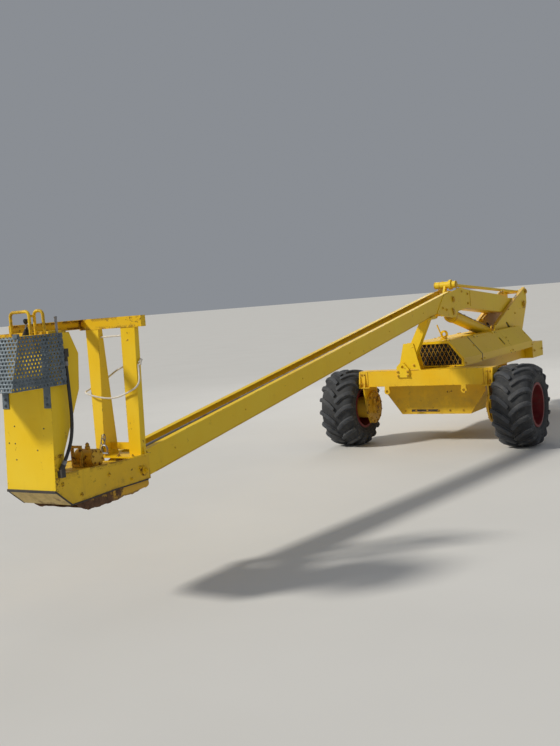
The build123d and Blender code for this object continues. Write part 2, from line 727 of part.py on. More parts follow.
def mast():
    """Two leaning plates with their foot plates, bored for the boom, rod and cylinder pins."""
    front = CYLINDER_PIN[0] + 375
    rear = PIVOT[0] - 130
    heel = PIVOT[0] + 160
    outline = [
        (front, MAST_FOOT_Z),
        (front, CYLINDER_PIN[1] + 148),
        (CYLINDER_PIN[0] + 10, CYLINDER_PIN[1] + 278),
        (PIVOT[0] + 450, PIVOT[1] + 60),
        (PIVOT[0] - 20, PIVOT[1] + 208),
        (rear, PIVOT[1] + 192),
        (rear, PIVOT[1] + 20),
        (heel, PIVOT[1] - 370),
        (heel, WEIGHT_TOP),
        (WEIGHT_FRONT + 10, WEIGHT_TOP),
        (WEIGHT_FRONT + 10, MAST_FOOT_Z),
    ]
    slot_x, slot_z = CYLINDER_PIN[0] - 135, CYLINDER_PIN[1] + 103
    slot = [(slot_x + a, slot_z + b) for a, b in MAST_SLOT]
    frame = None
    for side in (-1, 1):
        inner, outer = side * MAST_HALF_GAP, side * (MAST_HALF_GAP + MAST_WALL)
        plate = cross_section(outline, min(inner, outer), max(inner, outer))
        plate = plate - cross_section(slot, min(inner, outer) - 1, max(inner, outer) + 1)
        frame = plate if frame is None else frame + plate
    gap = MAST_HALF_GAP + 1
    web = block(heel + 20, heel + 40, -gap, gap, WEIGHT_TOP, PIVOT[1] - 370)
    tie = block(front - 20, front, -gap, gap, MAST_FOOT_Z, CYLINDER_PIN[1] - 87)
    frame = frame + web + tie
    reach = MAST_HALF_GAP + MAST_WALL + 10
    for place, radius in ((PIVOT, PIVOT_PIN_R), (MAST_ANCHOR, ANCHOR_PIN_R), (CYLINDER_PIN, CYLINDER_PIN_R)):
        frame = frame + cross_bar(place, radius, -reach, reach)
    return frame


def boom_front():
    """Front boom: an open-topped channel with inturned lips, sloping down to the platform."""
    x0, x1 = BOOM_FRONT_START, PLATFORM_PIN[0] - 80
    top0, top1 = boom_top(x0), boom_top(x1)
    outer = [(x0, top0), (x1, top1), (x1, top1 - BOOM_DEPTH), (x0, top0 - BOOM_DEPTH)]
    body = cross_section(outer, -BOOM_HALF, BOOM_HALF)
    w = BOOM_WALL
    hollow = [
        (x0 - 1, boom_top(x0 - 1) - w),
        (x1 + 1, boom_top(x1 + 1) - w),
        (x1 + 1, boom_top(x1 + 1) - BOOM_DEPTH + w),
        (x0 - 1, boom_top(x0 - 1) - BOOM_DEPTH + w),
    ]
    body = body - cross_section(hollow, -BOOM_INNER, BOOM_INNER)
    groove = [(x, z + (2 * w if i < 2 else 0)) for i, (x, z) in enumerate(hollow)]
    body = body - cross_section(groove, -BOOM_HALF + BOOM_LIP, BOOM_HALF - BOOM_LIP)
    ear = [
        (x1 - 60, boom_top(x1 - 60) - w),
        (x1 - 60, boom_top(x1 - 60) - BOOM_DEPTH + w),
        (PLATFORM_PIN[0], PLATFORM_PIN[1] - 45),
        (PLATFORM_PIN[0] + 34, PLATFORM_PIN[1] - 30),
        (PLATFORM_PIN[0] + 46, PLATFORM_PIN[1]),
        (PLATFORM_PIN[0] + 34, PLATFORM_PIN[1] + 30),
        (PLATFORM_PIN[0], PLATFORM_PIN[1] + 45),
    ]
    for side in (-1, 1):
        inner, outer_y = side * (BOOM_INNER - 6), side * BOOM_HALF
        cheek = cross_section(ear, min(inner, outer_y), max(inner, outer_y))
        body = body + cheek
    return body - cross_bar(PLATFORM_PIN, PLATFORM_PIN_R + RUNNING_FIT, -BOOM_W, BOOM_W)


def boom_arm():
    """Rear arm: two side plates and a floor from the mast pivot to the knuckle."""
    start = (KNUCKLE[0] - 130, KNUCKLE[1] + 119 - ARM_DEPTH / 2)
    half = ARM_DEPTH / 2
    belly = (PIVOT[0] + 766, PIVOT[1] - 55)
    outline = [
        (start[0], start[1] + half),
        (start[0], start[1] - half),
        belly,
        (PIVOT[0] - 10, PIVOT[1] - ARM_END_R),
        (PIVOT[0] - ARM_END_R + 14, PIVOT[1] - 40),
        (PIVOT[0] - ARM_END_R, PIVOT[1]),
        (PIVOT[0] - ARM_END_R + 14, PIVOT[1] + 40),
        (PIVOT[0] - 10, PIVOT[1] + ARM_END_R),
        (PIVOT[0] + 554, PIVOT[1] + 105),
        (PIVOT[0] + 825, PIVOT[1] + 153),
    ]
    body = cross_section(outline, -BOOM_HALF, BOOM_HALF)
    inner = BOOM_INNER
    hollow = [
        (start[0] + 1, start[1] + half + 1),
        (start[0] + 1, start[1] - half + BOOM_WALL),
        (belly[0], belly[1] + BOOM_WALL),
        (PIVOT[0] + 90, PIVOT[1] - ARM_END_R + BOOM_WALL + 5),
        (PIVOT[0] + 90, PIVOT[1] - ARM_END_R - 60),
        (PIVOT[0] - 200, PIVOT[1] - ARM_END_R - 60),
        (PIVOT[0] - 200, PIVOT[1] + 300),
        (start[0] + 1, start[1] + 300),
    ]
    body = body - cross_section(hollow, -inner, inner)
    for side in (-1, 1):
        boss = cross_bar(PIVOT, 48, side * (inner - 12), side * inner)
        body = body + boss
    return body - cross_bar(PIVOT, PIVOT_PIN_R + RUNNING_FIT, -BOOM_W, BOOM_W)


def boom_knuckle():
    """Knuckle cheeks that splice the arm to the front boom and hang down to the cylinder's eye."""
    back = KNUCKLE[0] - 500
    tip = KNUCKLE[0] + 450
    shoulder = KNUCKLE[0] + 260
    outline = [
        (back, KNUCKLE[1] - 89),
        (back, KNUCKLE[1] + 76),
        (KNUCKLE[0] - 220, KNUCKLE[1] + 124),
        (KNUCKLE[0] - 130, KNUCKLE[1] + 104),
        (KNUCKLE[0] - 50, KNUCKLE[1] + 96),
        (shoulder, boom_top(shoulder) - 8),
        (tip, boom_top(tip) - BOOM_DEPTH + 10),
        (tip, boom_top(tip) - BOOM_DEPTH - 4),
        (ROD_PIN[0] + 200, ROD_PIN[1] - 36),
        (ROD_PIN[0] + 60, ROD_PIN[1] - 55),
        (ROD_PIN[0] - 60, ROD_PIN[1] - 55),
        (ROD_PIN[0] - 140, ROD_PIN[1] + 2),
    ]
    body = None
    for side in (-1, 1):
        inner, outer = side * BOOM_HALF, side * (BOOM_HALF + 6)
        plate = cross_section(outline, min(inner, outer), max(inner, outer))
        boss = cross_bar(ROD_PIN, ROD_PIN_R + 14, side * (ROD_STUB_HALF + 6), side * BOOM_HALF)
        plate = plate + boss
        body = plate if body is None else body + plate
    body = body + cross_bar(KNUCKLE, KNUCKLE_PIN_R, -BOOM_HALF - 10, BOOM_HALF + 10)
    return body


def level_lever():
    """Levelling lever on the knuckle pin, with the cross tube that the rods push on."""
    hub = cross_bar(KNUCKLE, 34, -30, 30)
    outline = [
        offset(KNUCKLE, 30, LEVEL_ANGLE - 90),
        offset(LEVER_TOP, 26, LEVEL_ANGLE - 90),
        offset(LEVER_TOP, 26, LEVEL_ANGLE + 90),
        offset(KNUCKLE, 30, LEVEL_ANGLE + 90),
    ]
    web = cross_section(outline, -LINK_HALF, LINK_HALF)
    tube = cross_bar(LEVER_TOP, TORQUE_TUBE_R, -TORQUE_TUBE_HALF, TORQUE_TUBE_HALF)
    pin = cross_bar(LEVER_FRONT_PIN, ROD_EYE_PIN_R, -FRONT_PIN_REACH, LINK_HALF)
    bore = cross_bar(KNUCKLE, KNUCKLE_PIN_R + RUNNING_FIT, -40, 40)
    return hub + web + tube + pin - bore


def rear_level_rod():
    """Rod from the mast head to the cross tube, with an eye at each end."""
    y0, y1 = 42, 66
    centre = (y0 + y1) / 2
    start, end = MAST_ANCHOR, LEVER_TOP
    eye0 = cross_bar(start, 30, y0, y1) - cross_bar(start, ANCHOR_PIN_R + RUNNING_FIT, y0 - 1, y1 + 1)
    eye1 = cross_bar(end, TORQUE_TUBE_R + 16, y0, y1)
    eye1 = eye1 - cross_bar(end, TORQUE_TUBE_R + RUNNING_FIT, y0 - 1, y1 + 1)
    p0, p1 = along(start, end, 24), along(end, start, TORQUE_TUBE_R + 8)
    bar = round_bar((p0[0], centre, p0[1]), (p1[0], centre, p1[1]), REAR_ROD_R)
    bar = bar - cross_bar(start, ANCHOR_PIN_R + RUNNING_FIT, y0 - 20, y1 + 20)
    return eye0 + eye1 + bar


def front_level_rod():
    """Rod inside the boom's channel from the lever to the platform."""
    y1 = -LINK_HALF - LINK_GAP
    y0 = y1 - ROD_EYE_W
    centre = (y0 + y1) / 2
    start, end = LEVER_FRONT_PIN, PLATFORM_FRONT_PIN
    rod = round_bar((start[0], centre, start[1]), (end[0], centre, end[1]), FRONT_ROD_R)
    for place in (start, end):
        rod = rod + cross_bar(place, ROD_EYE_R, y0, y1)
    for place in (start, end):
        rod = rod - cross_bar(place, ROD_EYE_PIN_R + RUNNING_FIT, y0 - 1, y1 + 1)
    return rod


def lift_barrel():
    """Lift cylinder's barrel with its lower eye and a bore for the rod."""
    eye = cross_bar(CYLINDER_PIN, 46, -36, 36)
    p0 = along(CYLINDER_PIN, ROD_PIN, 30)
    p1 = along(CYLINDER_PIN, ROD_PIN, BARREL_LENGTH)
    body = round_bar((p0[0], 0, p0[1]), (p1[0], 0, p1[1]), BARREL_R)
    g0 = along(CYLINDER_PIN, ROD_PIN, BARREL_LENGTH - 60)
    gland = round_bar((g0[0], 0, g0[1]), (p1[0], 0, p1[1]), BARREL_R + 6)
    b0 = along(CYLINDER_PIN, ROD_PIN, 110)
    b1 = along(CYLINDER_PIN, ROD_PIN, BARREL_LENGTH + 1)
    bore = round_bar((b0[0], 0, b0[1]), (b1[0], 0, b1[1]), ROD_R + RUNNING_FIT)
    pin = cross_bar(CYLINDER_PIN, CYLINDER_PIN_R + RUNNING_FIT, -BARREL_R, BARREL_R)
    return body + gland + eye - bore - pin


def lift_rod():
    """Lift cylinder's rod with its eye and a short stub of the pin."""
    p0 = along(CYLINDER_PIN, ROD_PIN, BARREL_LENGTH - ROD_STROKE - ROD_GUIDE)
    p1 = along(ROD_PIN, CYLINDER_PIN, ROD_PIN_R + 6)
    rod = round_bar((p0[0], 0, p0[1]), (p1[0], 0, p1[1]), ROD_R)
    eye = cross_bar(ROD_PIN, ROD_PIN_R * 2, -28, 28)
    stub = cross_bar(ROD_PIN, ROD_PIN_R, -ROD_STUB_HALF, ROD_STUB_HALF)
    return rod + eye + stub


def boom_rest():
    """Rest on the front beam: two tapered plates and a post that leans to the middle."""
    def plate(x0, x1):
        outline = [
            (REST_Y - REST_BASE_HALF - 20, BEAM_TOP),
            (REST_Y + REST_BASE_HALF + 15, BEAM_TOP),
            (REST_Y + REST_TOP_HALF, REST_PLATE_TOP),
            (REST_Y - REST_TOP_HALF, REST_PLATE_TOP),
        ]
        return frame_section(outline, x0, x1)

    front = plate(BEAM_FRONT - REST_PLATE_WALL, BEAM_FRONT)
    back_x = BEAM_FRONT - REST_PLATE_WALL - REST_POST_DEPTH
    back = plate(back_x - REST_PLATE_WALL, back_x)
    top_z = boom_top(BEAM_FRONT) - BOOM_DEPTH - REST_GAP - 14
    foot = (REST_Y, BEAM_TOP + 120)
    head = (REST_TOP_Y, top_z)
    lean = math.atan2(head[0] - foot[0], head[1] - foot[1])
    side = REST_POST_W / 2
    across = (math.cos(lean) * side, -math.sin(lean) * side)
    post = frame_section(
        [
            (foot[0] - across[0], foot[1] - across[1]),
            (foot[0] + across[0], foot[1] + across[1]),
            (head[0] + across[0], head[1]),
            (head[0] - across[0], head[1]),
        ],
        back_x,
        back_x + REST_POST_DEPTH,
    )
    slope = BOOM_SLOPE
    pad_x0, pad_x1 = back_x - 25, BEAM_FRONT + 5
    under = BOOM_TOP_AT_AXLE - BOOM_DEPTH - REST_GAP
    pad = cross_section(
        [
            (pad_x0, top_z - 4),
            (pad_x1, top_z - 4),
            (pad_x1, under - slope * pad_x1),
            (pad_x0, under - slope * pad_x0),
        ],
        REST_TOP_Y - 75,
        REST_TOP_Y + 75,
    )
    return front + back + post + pad


def front_lug():
    """Towing lug on the front beam, pointed at the top, with one bore."""
    half = LUG_W / 2
    y = LUG_Y
    outline = [
        (y - half, LUG_BOTTOM),
        (y + half, LUG_BOTTOM),
        (y + half, LUG_BOTTOM + 80),
        (y + 12, LUG_TOP),
        (y - 22, LUG_TOP),
        (y - half, LUG_BOTTOM + 105),
    ]
    plate = frame_section(outline, BEAM_FRONT, BEAM_FRONT + LUG_WALL)
    bore = round_bar((BEAM_FRONT - 1, y, LUG_BORE_Z), (BEAM_FRONT + LUG_WALL + 1, y, LUG_BORE_Z), LUG_BORE_R)
    return plate - bore


def castor_fork():
    """Castor fork with its stem and the wheel's axle."""
    top = CASTOR_PLATE_Z + CASTOR_PLATE_WALL
    plate = block(
        CASTOR_X - 95,
        CASTOR_X + 80,
        -CASTOR_FORK_GAP - CASTOR_FORK_WALL,
        CASTOR_FORK_GAP + CASTOR_FORK_WALL,
        CASTOR_PLATE_Z,
        top,
    )
    stem = round_bar((CASTOR_X, 0, top - 1), (CASTOR_X, 0, RAIL_TOP + 10), CASTOR_STEM_R)
    outline = [
        (CASTOR_X + 70, top),
        (CASTOR_X - 95, top),
        (CASTOR_AXLE[0] - 45, CASTOR_AXLE[1] + 10),
        (CASTOR_AXLE[0] - 30, CASTOR_AXLE[1] - 38),
        (CASTOR_AXLE[0] + 30, CASTOR_AXLE[1] - 38),
        (CASTOR_AXLE[0] + 50, CASTOR_AXLE[1] + 10),
    ]
    fork = plate + stem
    for side in (-1, 1):
        inner, outer = side * CASTOR_FORK_GAP, side * (CASTOR_FORK_GAP + CASTOR_FORK_WALL)
        fork = fork + cross_section(outline, min(inner, outer), max(inner, outer))
    reach = CASTOR_FORK_GAP + CASTOR_FORK_WALL + 14
    return fork + cross_bar(CASTOR_AXLE, CASTOR_AXLE_R, -reach, reach)


def castor_tyre():
    """Castor tyre."""
    half = CASTOR_W / 2
    bead = CASTOR_RIM_R + TYRE_SEAT
    bead_half = CASTOR_RIM_HALF - CASTOR_RIM_WALL - TYRE_SEAT
    profile = [
        (-bead_half, bead),
        (-bead_half, bead + BEAD_RISE),
        (-half, bead + 48),
        (-half + 10, CASTOR_R - 28),
        (-half + 40, CASTOR_R),
        (half - 40, CASTOR_R),
        (half - 10, CASTOR_R - 28),
        (half, bead + 48),
        (bead_half, bead + BEAD_RISE),
        (bead_half, bead),
    ]
    return turned(profile, CASTOR_AXLE, 0)


def castor_rim():
    """Castor rim with its disc and hub, bored for the axle."""
    half, w = CASTOR_RIM_HALF, CASTOR_RIM_WALL
    barrel = turned(
        [
            (-half, CASTOR_RIM_R - w),
            (-half, CASTOR_RIM_R + 10),
            (-half + w, CASTOR_RIM_R + 10),
            (-half + w, CASTOR_RIM_R),
            (half - w, CASTOR_RIM_R),
            (half - w, CASTOR_RIM_R + 10),
            (half, CASTOR_RIM_R + 10),
            (half, CASTOR_RIM_R - w),
        ],
        CASTOR_AXLE,
        0,
    )
    disc = cross_bar(CASTOR_AXLE, CASTOR_RIM_R - w + 1, -8, 8)
    hub = cross_bar(CASTOR_AXLE, 42, -CASTOR_FORK_GAP + TURN_GAP, CASTOR_FORK_GAP - TURN_GAP)
    bore = cross_bar(CASTOR_AXLE, CASTOR_AXLE_R + RUNNING_FIT, -CASTOR_W, CASTOR_W)
    return barrel + disc + hub - bore


def platform_base():
    """Platform base: two side plates with a deck and a chamfered nose, open at the rear."""
    w = BASE_WALL
    side_outline = [
        (BASE_REAR, BASE_BOTTOM),
        (BASE_REAR, BASE_TOP - FOOT_PLATE_SEAT),
        (POST_X + FOOT_PLATE_X[1], BASE_TOP - FOOT_PLATE_SEAT),
        (POST_X + FOOT_PLATE_X[1] + 6, BASE_TOP),
        (shield_x(BASE_TOP + 20) - w, BASE_TOP + 20),
        (BASE_FRONT - w, BASE_BOTTOM + NOSE_RISE),
        (BASE_FRONT - NOSE_SET_BACK, BASE_BOTTOM - 10),
    ]
    body = cross_section(side_outline, -BASE_HALF, -BASE_HALF + w)
    body = body + cross_section(side_outline, BASE_HALF - w, BASE_HALF)
    y = BASE_HALF - 1
    body = body + block(DECK_REAR, shield_x(BASE_TOP) - w, -y, y, DECK_Z, BASE_TOP)
    body = body + block(DECK_REAR, DECK_REAR + w, -y, y, BASE_BOTTOM, BASE_TOP)
    nose = [
        (BASE_FRONT - w, BASE_BOTTOM + NOSE_RISE),
        (BASE_FRONT - NOSE_SET_BACK, BASE_BOTTOM - 10),
        (DECK_REAR, BASE_BOTTOM),
        (DECK_REAR, BASE_BOTTOM + w),
        (BASE_FRONT - NOSE_SET_BACK - 2, BASE_BOTTOM - 10 + w),
        (BASE_FRONT - w - 8, BASE_BOTTOM + NOSE_RISE + 3),
    ]
    body = body + cross_section(nose, -y, y)
    pin = cross_bar(PLATFORM_PIN, PLATFORM_PIN_R, -BASE_HALF - 10, BASE_HALF + 10)
    return body + pin


def platform_skid():
    """Dented guard plate hung under the platform's side plates."""
    outline = [
        (BASE_REAR + 15, BASE_BOTTOM),
        (BASE_REAR + 25, BASE_BOTTOM - PAN_DROP * 0.7),
        (BASE_REAR + 150, BASE_BOTTOM - PAN_DROP * 0.8),
        (BASE_REAR + 260, BASE_BOTTOM - PAN_DROP),
        (BASE_FRONT - SKID_FRONT, BASE_BOTTOM - PAN_DROP),
        (BASE_FRONT - NOSE_SET_BACK - 10, BASE_BOTTOM - 12),
    ]
    body = None
    for side in (-1, 1):
        inner, outer = side * (BASE_HALF - 16), side * (BASE_HALF - 6)
        plate = cross_section(outline, min(inner, outer), max(inner, outer))
        body = plate if body is None else body + plate
    floor = [
        (DECK_REAR + 40, BASE_BOTTOM - PAN_DROP + 5),
        (BASE_FRONT - SKID_FRONT, BASE_BOTTOM - PAN_DROP + 5),
        (BASE_FRONT - SKID_FRONT, BASE_BOTTOM - PAN_DROP),
        (DECK_REAR + 40, BASE_BOTTOM - PAN_DROP),
    ]
    return body + cross_section(floor, -BASE_HALF + 10, BASE_HALF - 10)


def platform_link():
    """Lug from the deck's rear wall to the pivot pin and up to the front levelling rod."""
    y0, y1 = -LINK_HALF, LINK_HALF
    outline = [
        (DECK_REAR, DECK_Z - 8),
        (DECK_REAR, BASE_BOTTOM + 30),
        (PLATFORM_PIN[0], PLATFORM_PIN[1] - 30),
        offset(PLATFORM_PIN, 30, LEVEL_ANGLE + 90),
        offset(PLATFORM_FRONT_PIN, 14, LEVEL_ANGLE + 90),
        offset(PLATFORM_FRONT_PIN, 14, LEVEL_ANGLE),
        offset(PLATFORM_FRONT_PIN, 14, LEVEL_ANGLE - 90),
        (PLATFORM_PIN[0] + 60, PLATFORM_PIN[1] + 30),
    ]
    lug = cross_section(outline, y0, y1) - cross_bar(PLATFORM_PIN, PLATFORM_PIN_R, y0 - 1, y1 + 1)
    return lug + cross_bar(PLATFORM_FRONT_PIN, ROD_EYE_PIN_R, -FRONT_PIN_REACH, y1)


def platform_shield():
    """Leg shield: a folded front sheet with tapered side returns."""
    w = SHIELD_WALL
    front = cross_section(leaning(BASE_BOTTOM + NOSE_RISE, SHIELD_TOP, -w, 0), -BASE_HALF, BASE_HALF)
    foot, top = BASE_TOP + 20, SHIELD_TOP
    outline = [
        (shield_x(foot) - 1, foot),
        (shield_x(top) - 1, top),
        (shield_x(top) - 150, top),
        (shield_x(top) - 205, top - 115),
        (shield_x(top) - 185, top - 300),
        (shield_x(foot) - 80, foot + 100),
        (shield_x(foot) - 70, foot),
    ]
    body = front + cross_section(outline, -BASE_HALF, -BASE_HALF + w)
    return body + cross_section(outline, BASE_HALF - w, BASE_HALF)


def tapered_post(row, wall):
    """One post from its row of sizes, its section drawn in by a wall thickness."""
    foot_x, foot_y, depth, width, head_y, head_width = row
    foot = Pos(foot_x, foot_y, FOOT_PLATE_TOP) * Rectangle(depth - 2 * wall, width - 2 * wall)
    head = Pos(POST_X, head_y, POST_TOP) * Rectangle(POST_TOP_D - 2 * wall, head_width - 2 * wall)
    return loft([foot.face(), head.face()])


def platform_posts():
    """Two tapered box posts at the back of the platform on one foot plate."""
    bottom = BASE_TOP - FOOT_PLATE_SEAT
    rear, front = POST_X + FOOT_PLATE_X[0], POST_X + FOOT_PLATE_X[1]
    body = block(rear, front, -BASE_HALF, BASE_HALF, bottom, FOOT_PLATE_TOP)
    for row in POSTS:
        body = body + (tapered_post(row, 0) - tapered_post(row, POST_WALL))
    far, near = POSTS
    brace = block(POST_X - 5, POST_X + 5, far[1] + far[3] / 2 - 3, near[1] - near[3] / 2 + 3, *BRACE_Z)
    return body + brace


def platform_rail():
    """Back rail on the posts and the side rail that runs forward to the shield."""
    back = block(
        POST_X - RAIL_TUBE_D / 2,
        POST_X + RAIL_TUBE_D / 2,
        BACK_RAIL_Y[0],
        BACK_RAIL_Y[1],
        POST_TOP,
        POST_TOP + RAIL_TUBE_H,
    )
    w = POST_WALL
    bore = block(
        POST_X - RAIL_TUBE_D / 2 + w,
        POST_X + RAIL_TUBE_D / 2 - w,
        BACK_RAIL_Y[0] + w,
        BACK_RAIL_Y[1] - w,
        POST_TOP + w,
        POST_TOP + RAIL_TUBE_H - w,
    )
    back = back - bore
    side = block(
        POST_X + RAIL_TUBE_D / 2 - 1,
        SIDE_RAIL_END,
        BACK_RAIL_Y[0],
        BACK_RAIL_Y[0] + 30,
        POST_TOP + 8,
        POST_TOP + RAIL_TUBE_H,
    )
    side = side - block(
        POST_X,
        SIDE_RAIL_END + 1,
        BACK_RAIL_Y[0] + w,
        BACK_RAIL_Y[0] + 31,
        POST_TOP + 8 + w,
        POST_TOP + RAIL_TUBE_H - w,
    )
    front = block(
        SIDE_RAIL_END - 34,
        shield_x(SHIELD_TOP) - SHIELD_WALL,
        BACK_RAIL_Y[0],
        BASE_HALF,
        SHIELD_TOP,
        SHIELD_TOP + 12,
    )
    return back + side + front


def hand_guard():
    """Perforated guard round the controls, flaring forward towards its lower edge."""
    w = GUARD_WALL
    low_front = GUARD_TOP_FRONT + GUARD_FLARE
    side = [
        (GUARD_REAR, GUARD_TOP),
        (GUARD_TOP_FRONT, GUARD_TOP),
        (low_front, GUARD_BOTTOM),
        (GUARD_REAR, GUARD_BOTTOM),
    ]
    body = cross_section(side, -GUARD_HALF, -GUARD_HALF + w) + cross_section(side, GUARD_HALF - w, GUARD_HALF)
    front = [
        (GUARD_TOP_FRONT, GUARD_TOP),
        (low_front, GUARD_BOTTOM),
        (low_front - w, GUARD_BOTTOM),
        (GUARD_TOP_FRONT - w, GUARD_TOP),
    ]
    body = body + cross_section(front, -GUARD_HALF, GUARD_HALF)
    foot = GUARD_BOTTOM - GUARD_STRAP_DROP
    strap = leaning(foot, GUARD_TOP, 0, GUARD_STRAP_WALL)
    body = body + cross_section(strap, -BASE_HALF, -BASE_HALF + GUARD_STRAP_W)
    body = body + cross_section(strap, BASE_HALF - GUARD_STRAP_W, BASE_HALF)
    tie = leaning(GUARD_BOTTOM, GUARD_BOTTOM + 40, 0, GUARD_STRAP_WALL)
    return body + cross_section(tie, -GUARD_HALF, GUARD_HALF)


def control_hoops():
    """Two bent tube hoops over the control levers, joined at the top, on the shelf in the guard."""
    under, rim, wall = GUARD_TOP - SHELF_WALL, SHELF_RIM, GUARD_WALL
    back, front, half = shield_x(under) + GUARD_STRAP_WALL, GUARD_TOP_FRONT - wall - 1, GUARD_HALF - wall
    body = block(back, front, -half, half, under, GUARD_TOP)
    body = body - block(back + rim, front - rim, -half + rim, half - rim, under - 1, GUARD_TOP + 1)
    base, top = GUARD_TOP, GUARD_TOP + HOOP_H
    for x, y0, y1 in HOOPS:
        strap = HOOP_STRAP_W / 2
        body = body + block(x - strap, x + strap, -half + rim - 1, half - rim + 1, under, GUARD_TOP)
        path = FilletPolyline([(x, y0, base), (x, y0, top), (x, y1, top), (x, y1, base)], radius=HOOP_BEND)
        ring = Plane(origin=(x, y0, base), z_dir=(0, 0, 1)) * Circle(HOOP_R)
        body = body + sweep(ring, path=path)
    first, second = HOOPS
    drop = top - HOOP_BEND
    return body + round_bar((first[0], first[2], drop), (second[0], second[1], drop), HOOP_R * 0.8)


def hood_latch():
    """Hold-down lever and lifting ring on top of the cowl."""
    x, z = LATCH_X, HOOD_TOP
    base = block(x - 70, x + 40, -18, 18, z, z + 10)
    ring = round_bar((x - 34, 0, z + 48), (x - 16, 0, z + 48), LATCH_RING_R)
    ring = ring - round_bar((x - 35, 0, z + 48), (x - 15, 0, z + 48), LATCH_RING_R / 2)
    lever = round_bar((x + 20, 0, z + 5), (x + 46, -44, z + LATCH_LEVER_H), 7)
    return base + ring + lever


def rear_hitch():
    """Hitch tongue under the rear weight, with one bore."""
    under = WEIGHT_BOTTOM - HITCH_WALL
    plate = block(WEIGHT_REAR - HITCH_REACH, WEIGHT_REAR + 90, -45, 45, under, WEIGHT_BOTTOM)
    return plate - round_bar((HITCH_X, 0, under - 1), (HITCH_X, 0, WEIGHT_BOTTOM + 1), HITCH_BORE_R)


def control_levers():
    """Control levers on the shelf, and a stalk at the guard's rear corner."""
    body = None
    for x, y in LEVERS:
        lever = round_bar((x, y, GUARD_TOP), (x, y, GUARD_TOP + 62), 6)
        boot = Solid.make_cone(24, 9, 34, Plane(origin=(x, y, GUARD_TOP)))
        knob = Pos(x, y, GUARD_TOP + 70) * Sphere(13)
        piece = lever + boot + knob
        body = piece if body is None else body + piece
    x, y = STALK_X, GUARD_HALF - GUARD_WALL - STALK_R - 0.05
    return body + round_bar((x, y, GUARD_TOP - 30), (x, y, GUARD_TOP + STALK_H), STALK_R)


def deck_valve():
    """Foot valve and its rounded housing on the deck behind the shield."""
    x, z, r = VALVE_X, BASE_TOP, VALVE_R
    y0, y1 = VALVE_Y
    body = round_bar((x, y0, z + r), (x, y1, z + r), r) + block(x - r * 0.7, x + r * 0.7, y0, y1, z, z + r)
    frame = block(x + 50, x + 64, y0, y0 + 72, z, z + 118) - block(x + 49, x + 65, y0 + 13, y0 + 59, z + 20, z + 105)
    arm = block(x + r * 0.5, x + 51, y0 + 20, y0 + 52, z, z + 18)
    return body + frame + arm


def control_hose():
    """Hose from the guard's valve down the outside of the shield to the deck valve."""
    path = FilletPolyline(HOSE_ROUTE, radius=HOSE_BEND)
    start = Plane(origin=HOSE_ROUTE[0], z_dir=Vector(*HOSE_ROUTE[1]) - Vector(*HOSE_ROUTE[0]))
    return sweep(start * Circle(HOSE_R), path=path)


def hose_fitting(end, inward):
    """Ferrule on one end of the hose, and the block on the shield's side that it screws into."""
    end, inward = Vector(*end), Vector(*inward)
    axis = (end - inward).normalized()
    far = end + axis * FERRULE_LENGTH
    ferrule = round_bar(tuple(end), tuple(far), HOSE_R + 4)
    z0, z1 = sorted((far.Z, far.Z + math.copysign(FITTING_H, axis.Z)))
    body = block(far.X - FITTING_HALF, far.X + FITTING_HALF, BASE_HALF, far.Y + FITTING_HALF, z0 - 4, z1 + 4)
    return ferrule + body


def hose_fittings():
    """The hose's upper and lower fittings."""
    upper = hose_fitting(HOSE_ROUTE[0], HOSE_ROUTE[1])
    lower = hose_fitting(HOSE_ROUTE[-1], HOSE_ROUTE[-2])
    return Compound([upper, lower])


def build():
    """All pieces by node name, in the building frame."""
    parts = {
        "front_beam": front_beam(),
        "main_frame": main_frame(),
        "belly_pan": belly_pan(),
        "hood_cowl": hood_cowl(),
        "hood_grille": hood_grille(),
        "hood_spine": hood_spine(),
        "engine_block": engine(),
        "counterweight": counterweight(),
        "mast": mast(),
        "boom_rest": boom_rest(),
        "front_lug": front_lug(),
        "castor_fork": castor_fork(),
        "castor_tyre": castor_tyre(),
        "castor_rim": castor_rim(),
        "boom_front": boom_front(),
        "boom_arm": boom_arm(),
        "boom_knuckle": boom_knuckle(),
        "level_lever": level_lever(),
        "rear_level_rod": rear_level_rod(),
        "front_level_rod": front_level_rod(),
        "lift_barrel": lift_barrel(),
        "lift_rod": lift_rod(),
        "platform_base": platform_base(),
        "platform_skid": platform_skid(),
        "platform_link": platform_link(),
        "platform_shield": platform_shield(),
        "platform_posts": platform_posts(),
        "platform_rail": platform_rail(),
        "hand_guard": hand_guard(),
        "control_hoops": control_hoops(),
        "control_levers": control_levers(),
        "deck_valve": deck_valve(),
        "control_hose": control_hose(),
        "hose_fittings": hose_fittings(),
        "rear_hitch": rear_hitch(),
    }
    pairs = {
        "tyre": tyre(),
        "rim": rim(),
        "wheel_motor": wheel_motor(),
        "engine_door": engine_door(),
        "rear_tank": rear_tank(),
    }
    for name, piece in pairs.items():
        parts[name + "_left"] = piece
        parts[name + "_right"] = mirrored(piece)
    return parts


parts = build()
boxes = [piece.bounding_box() for piece in parts.values()]
SHIFT = -(min(box.min.X for box in boxes) + max(box.max.X for box in boxes)) / 2
print("origin moved along X by", round(SHIFT, 3))
os.makedirs("parts", exist_ok=True)
for name, piece in parts.items():
    export_step(Pos(SHIFT, 0, 0) * piece, "parts/" + name + ".step")
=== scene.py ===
import bmesh
import bpy
import math
from mathutils import Matrix, Vector, noise


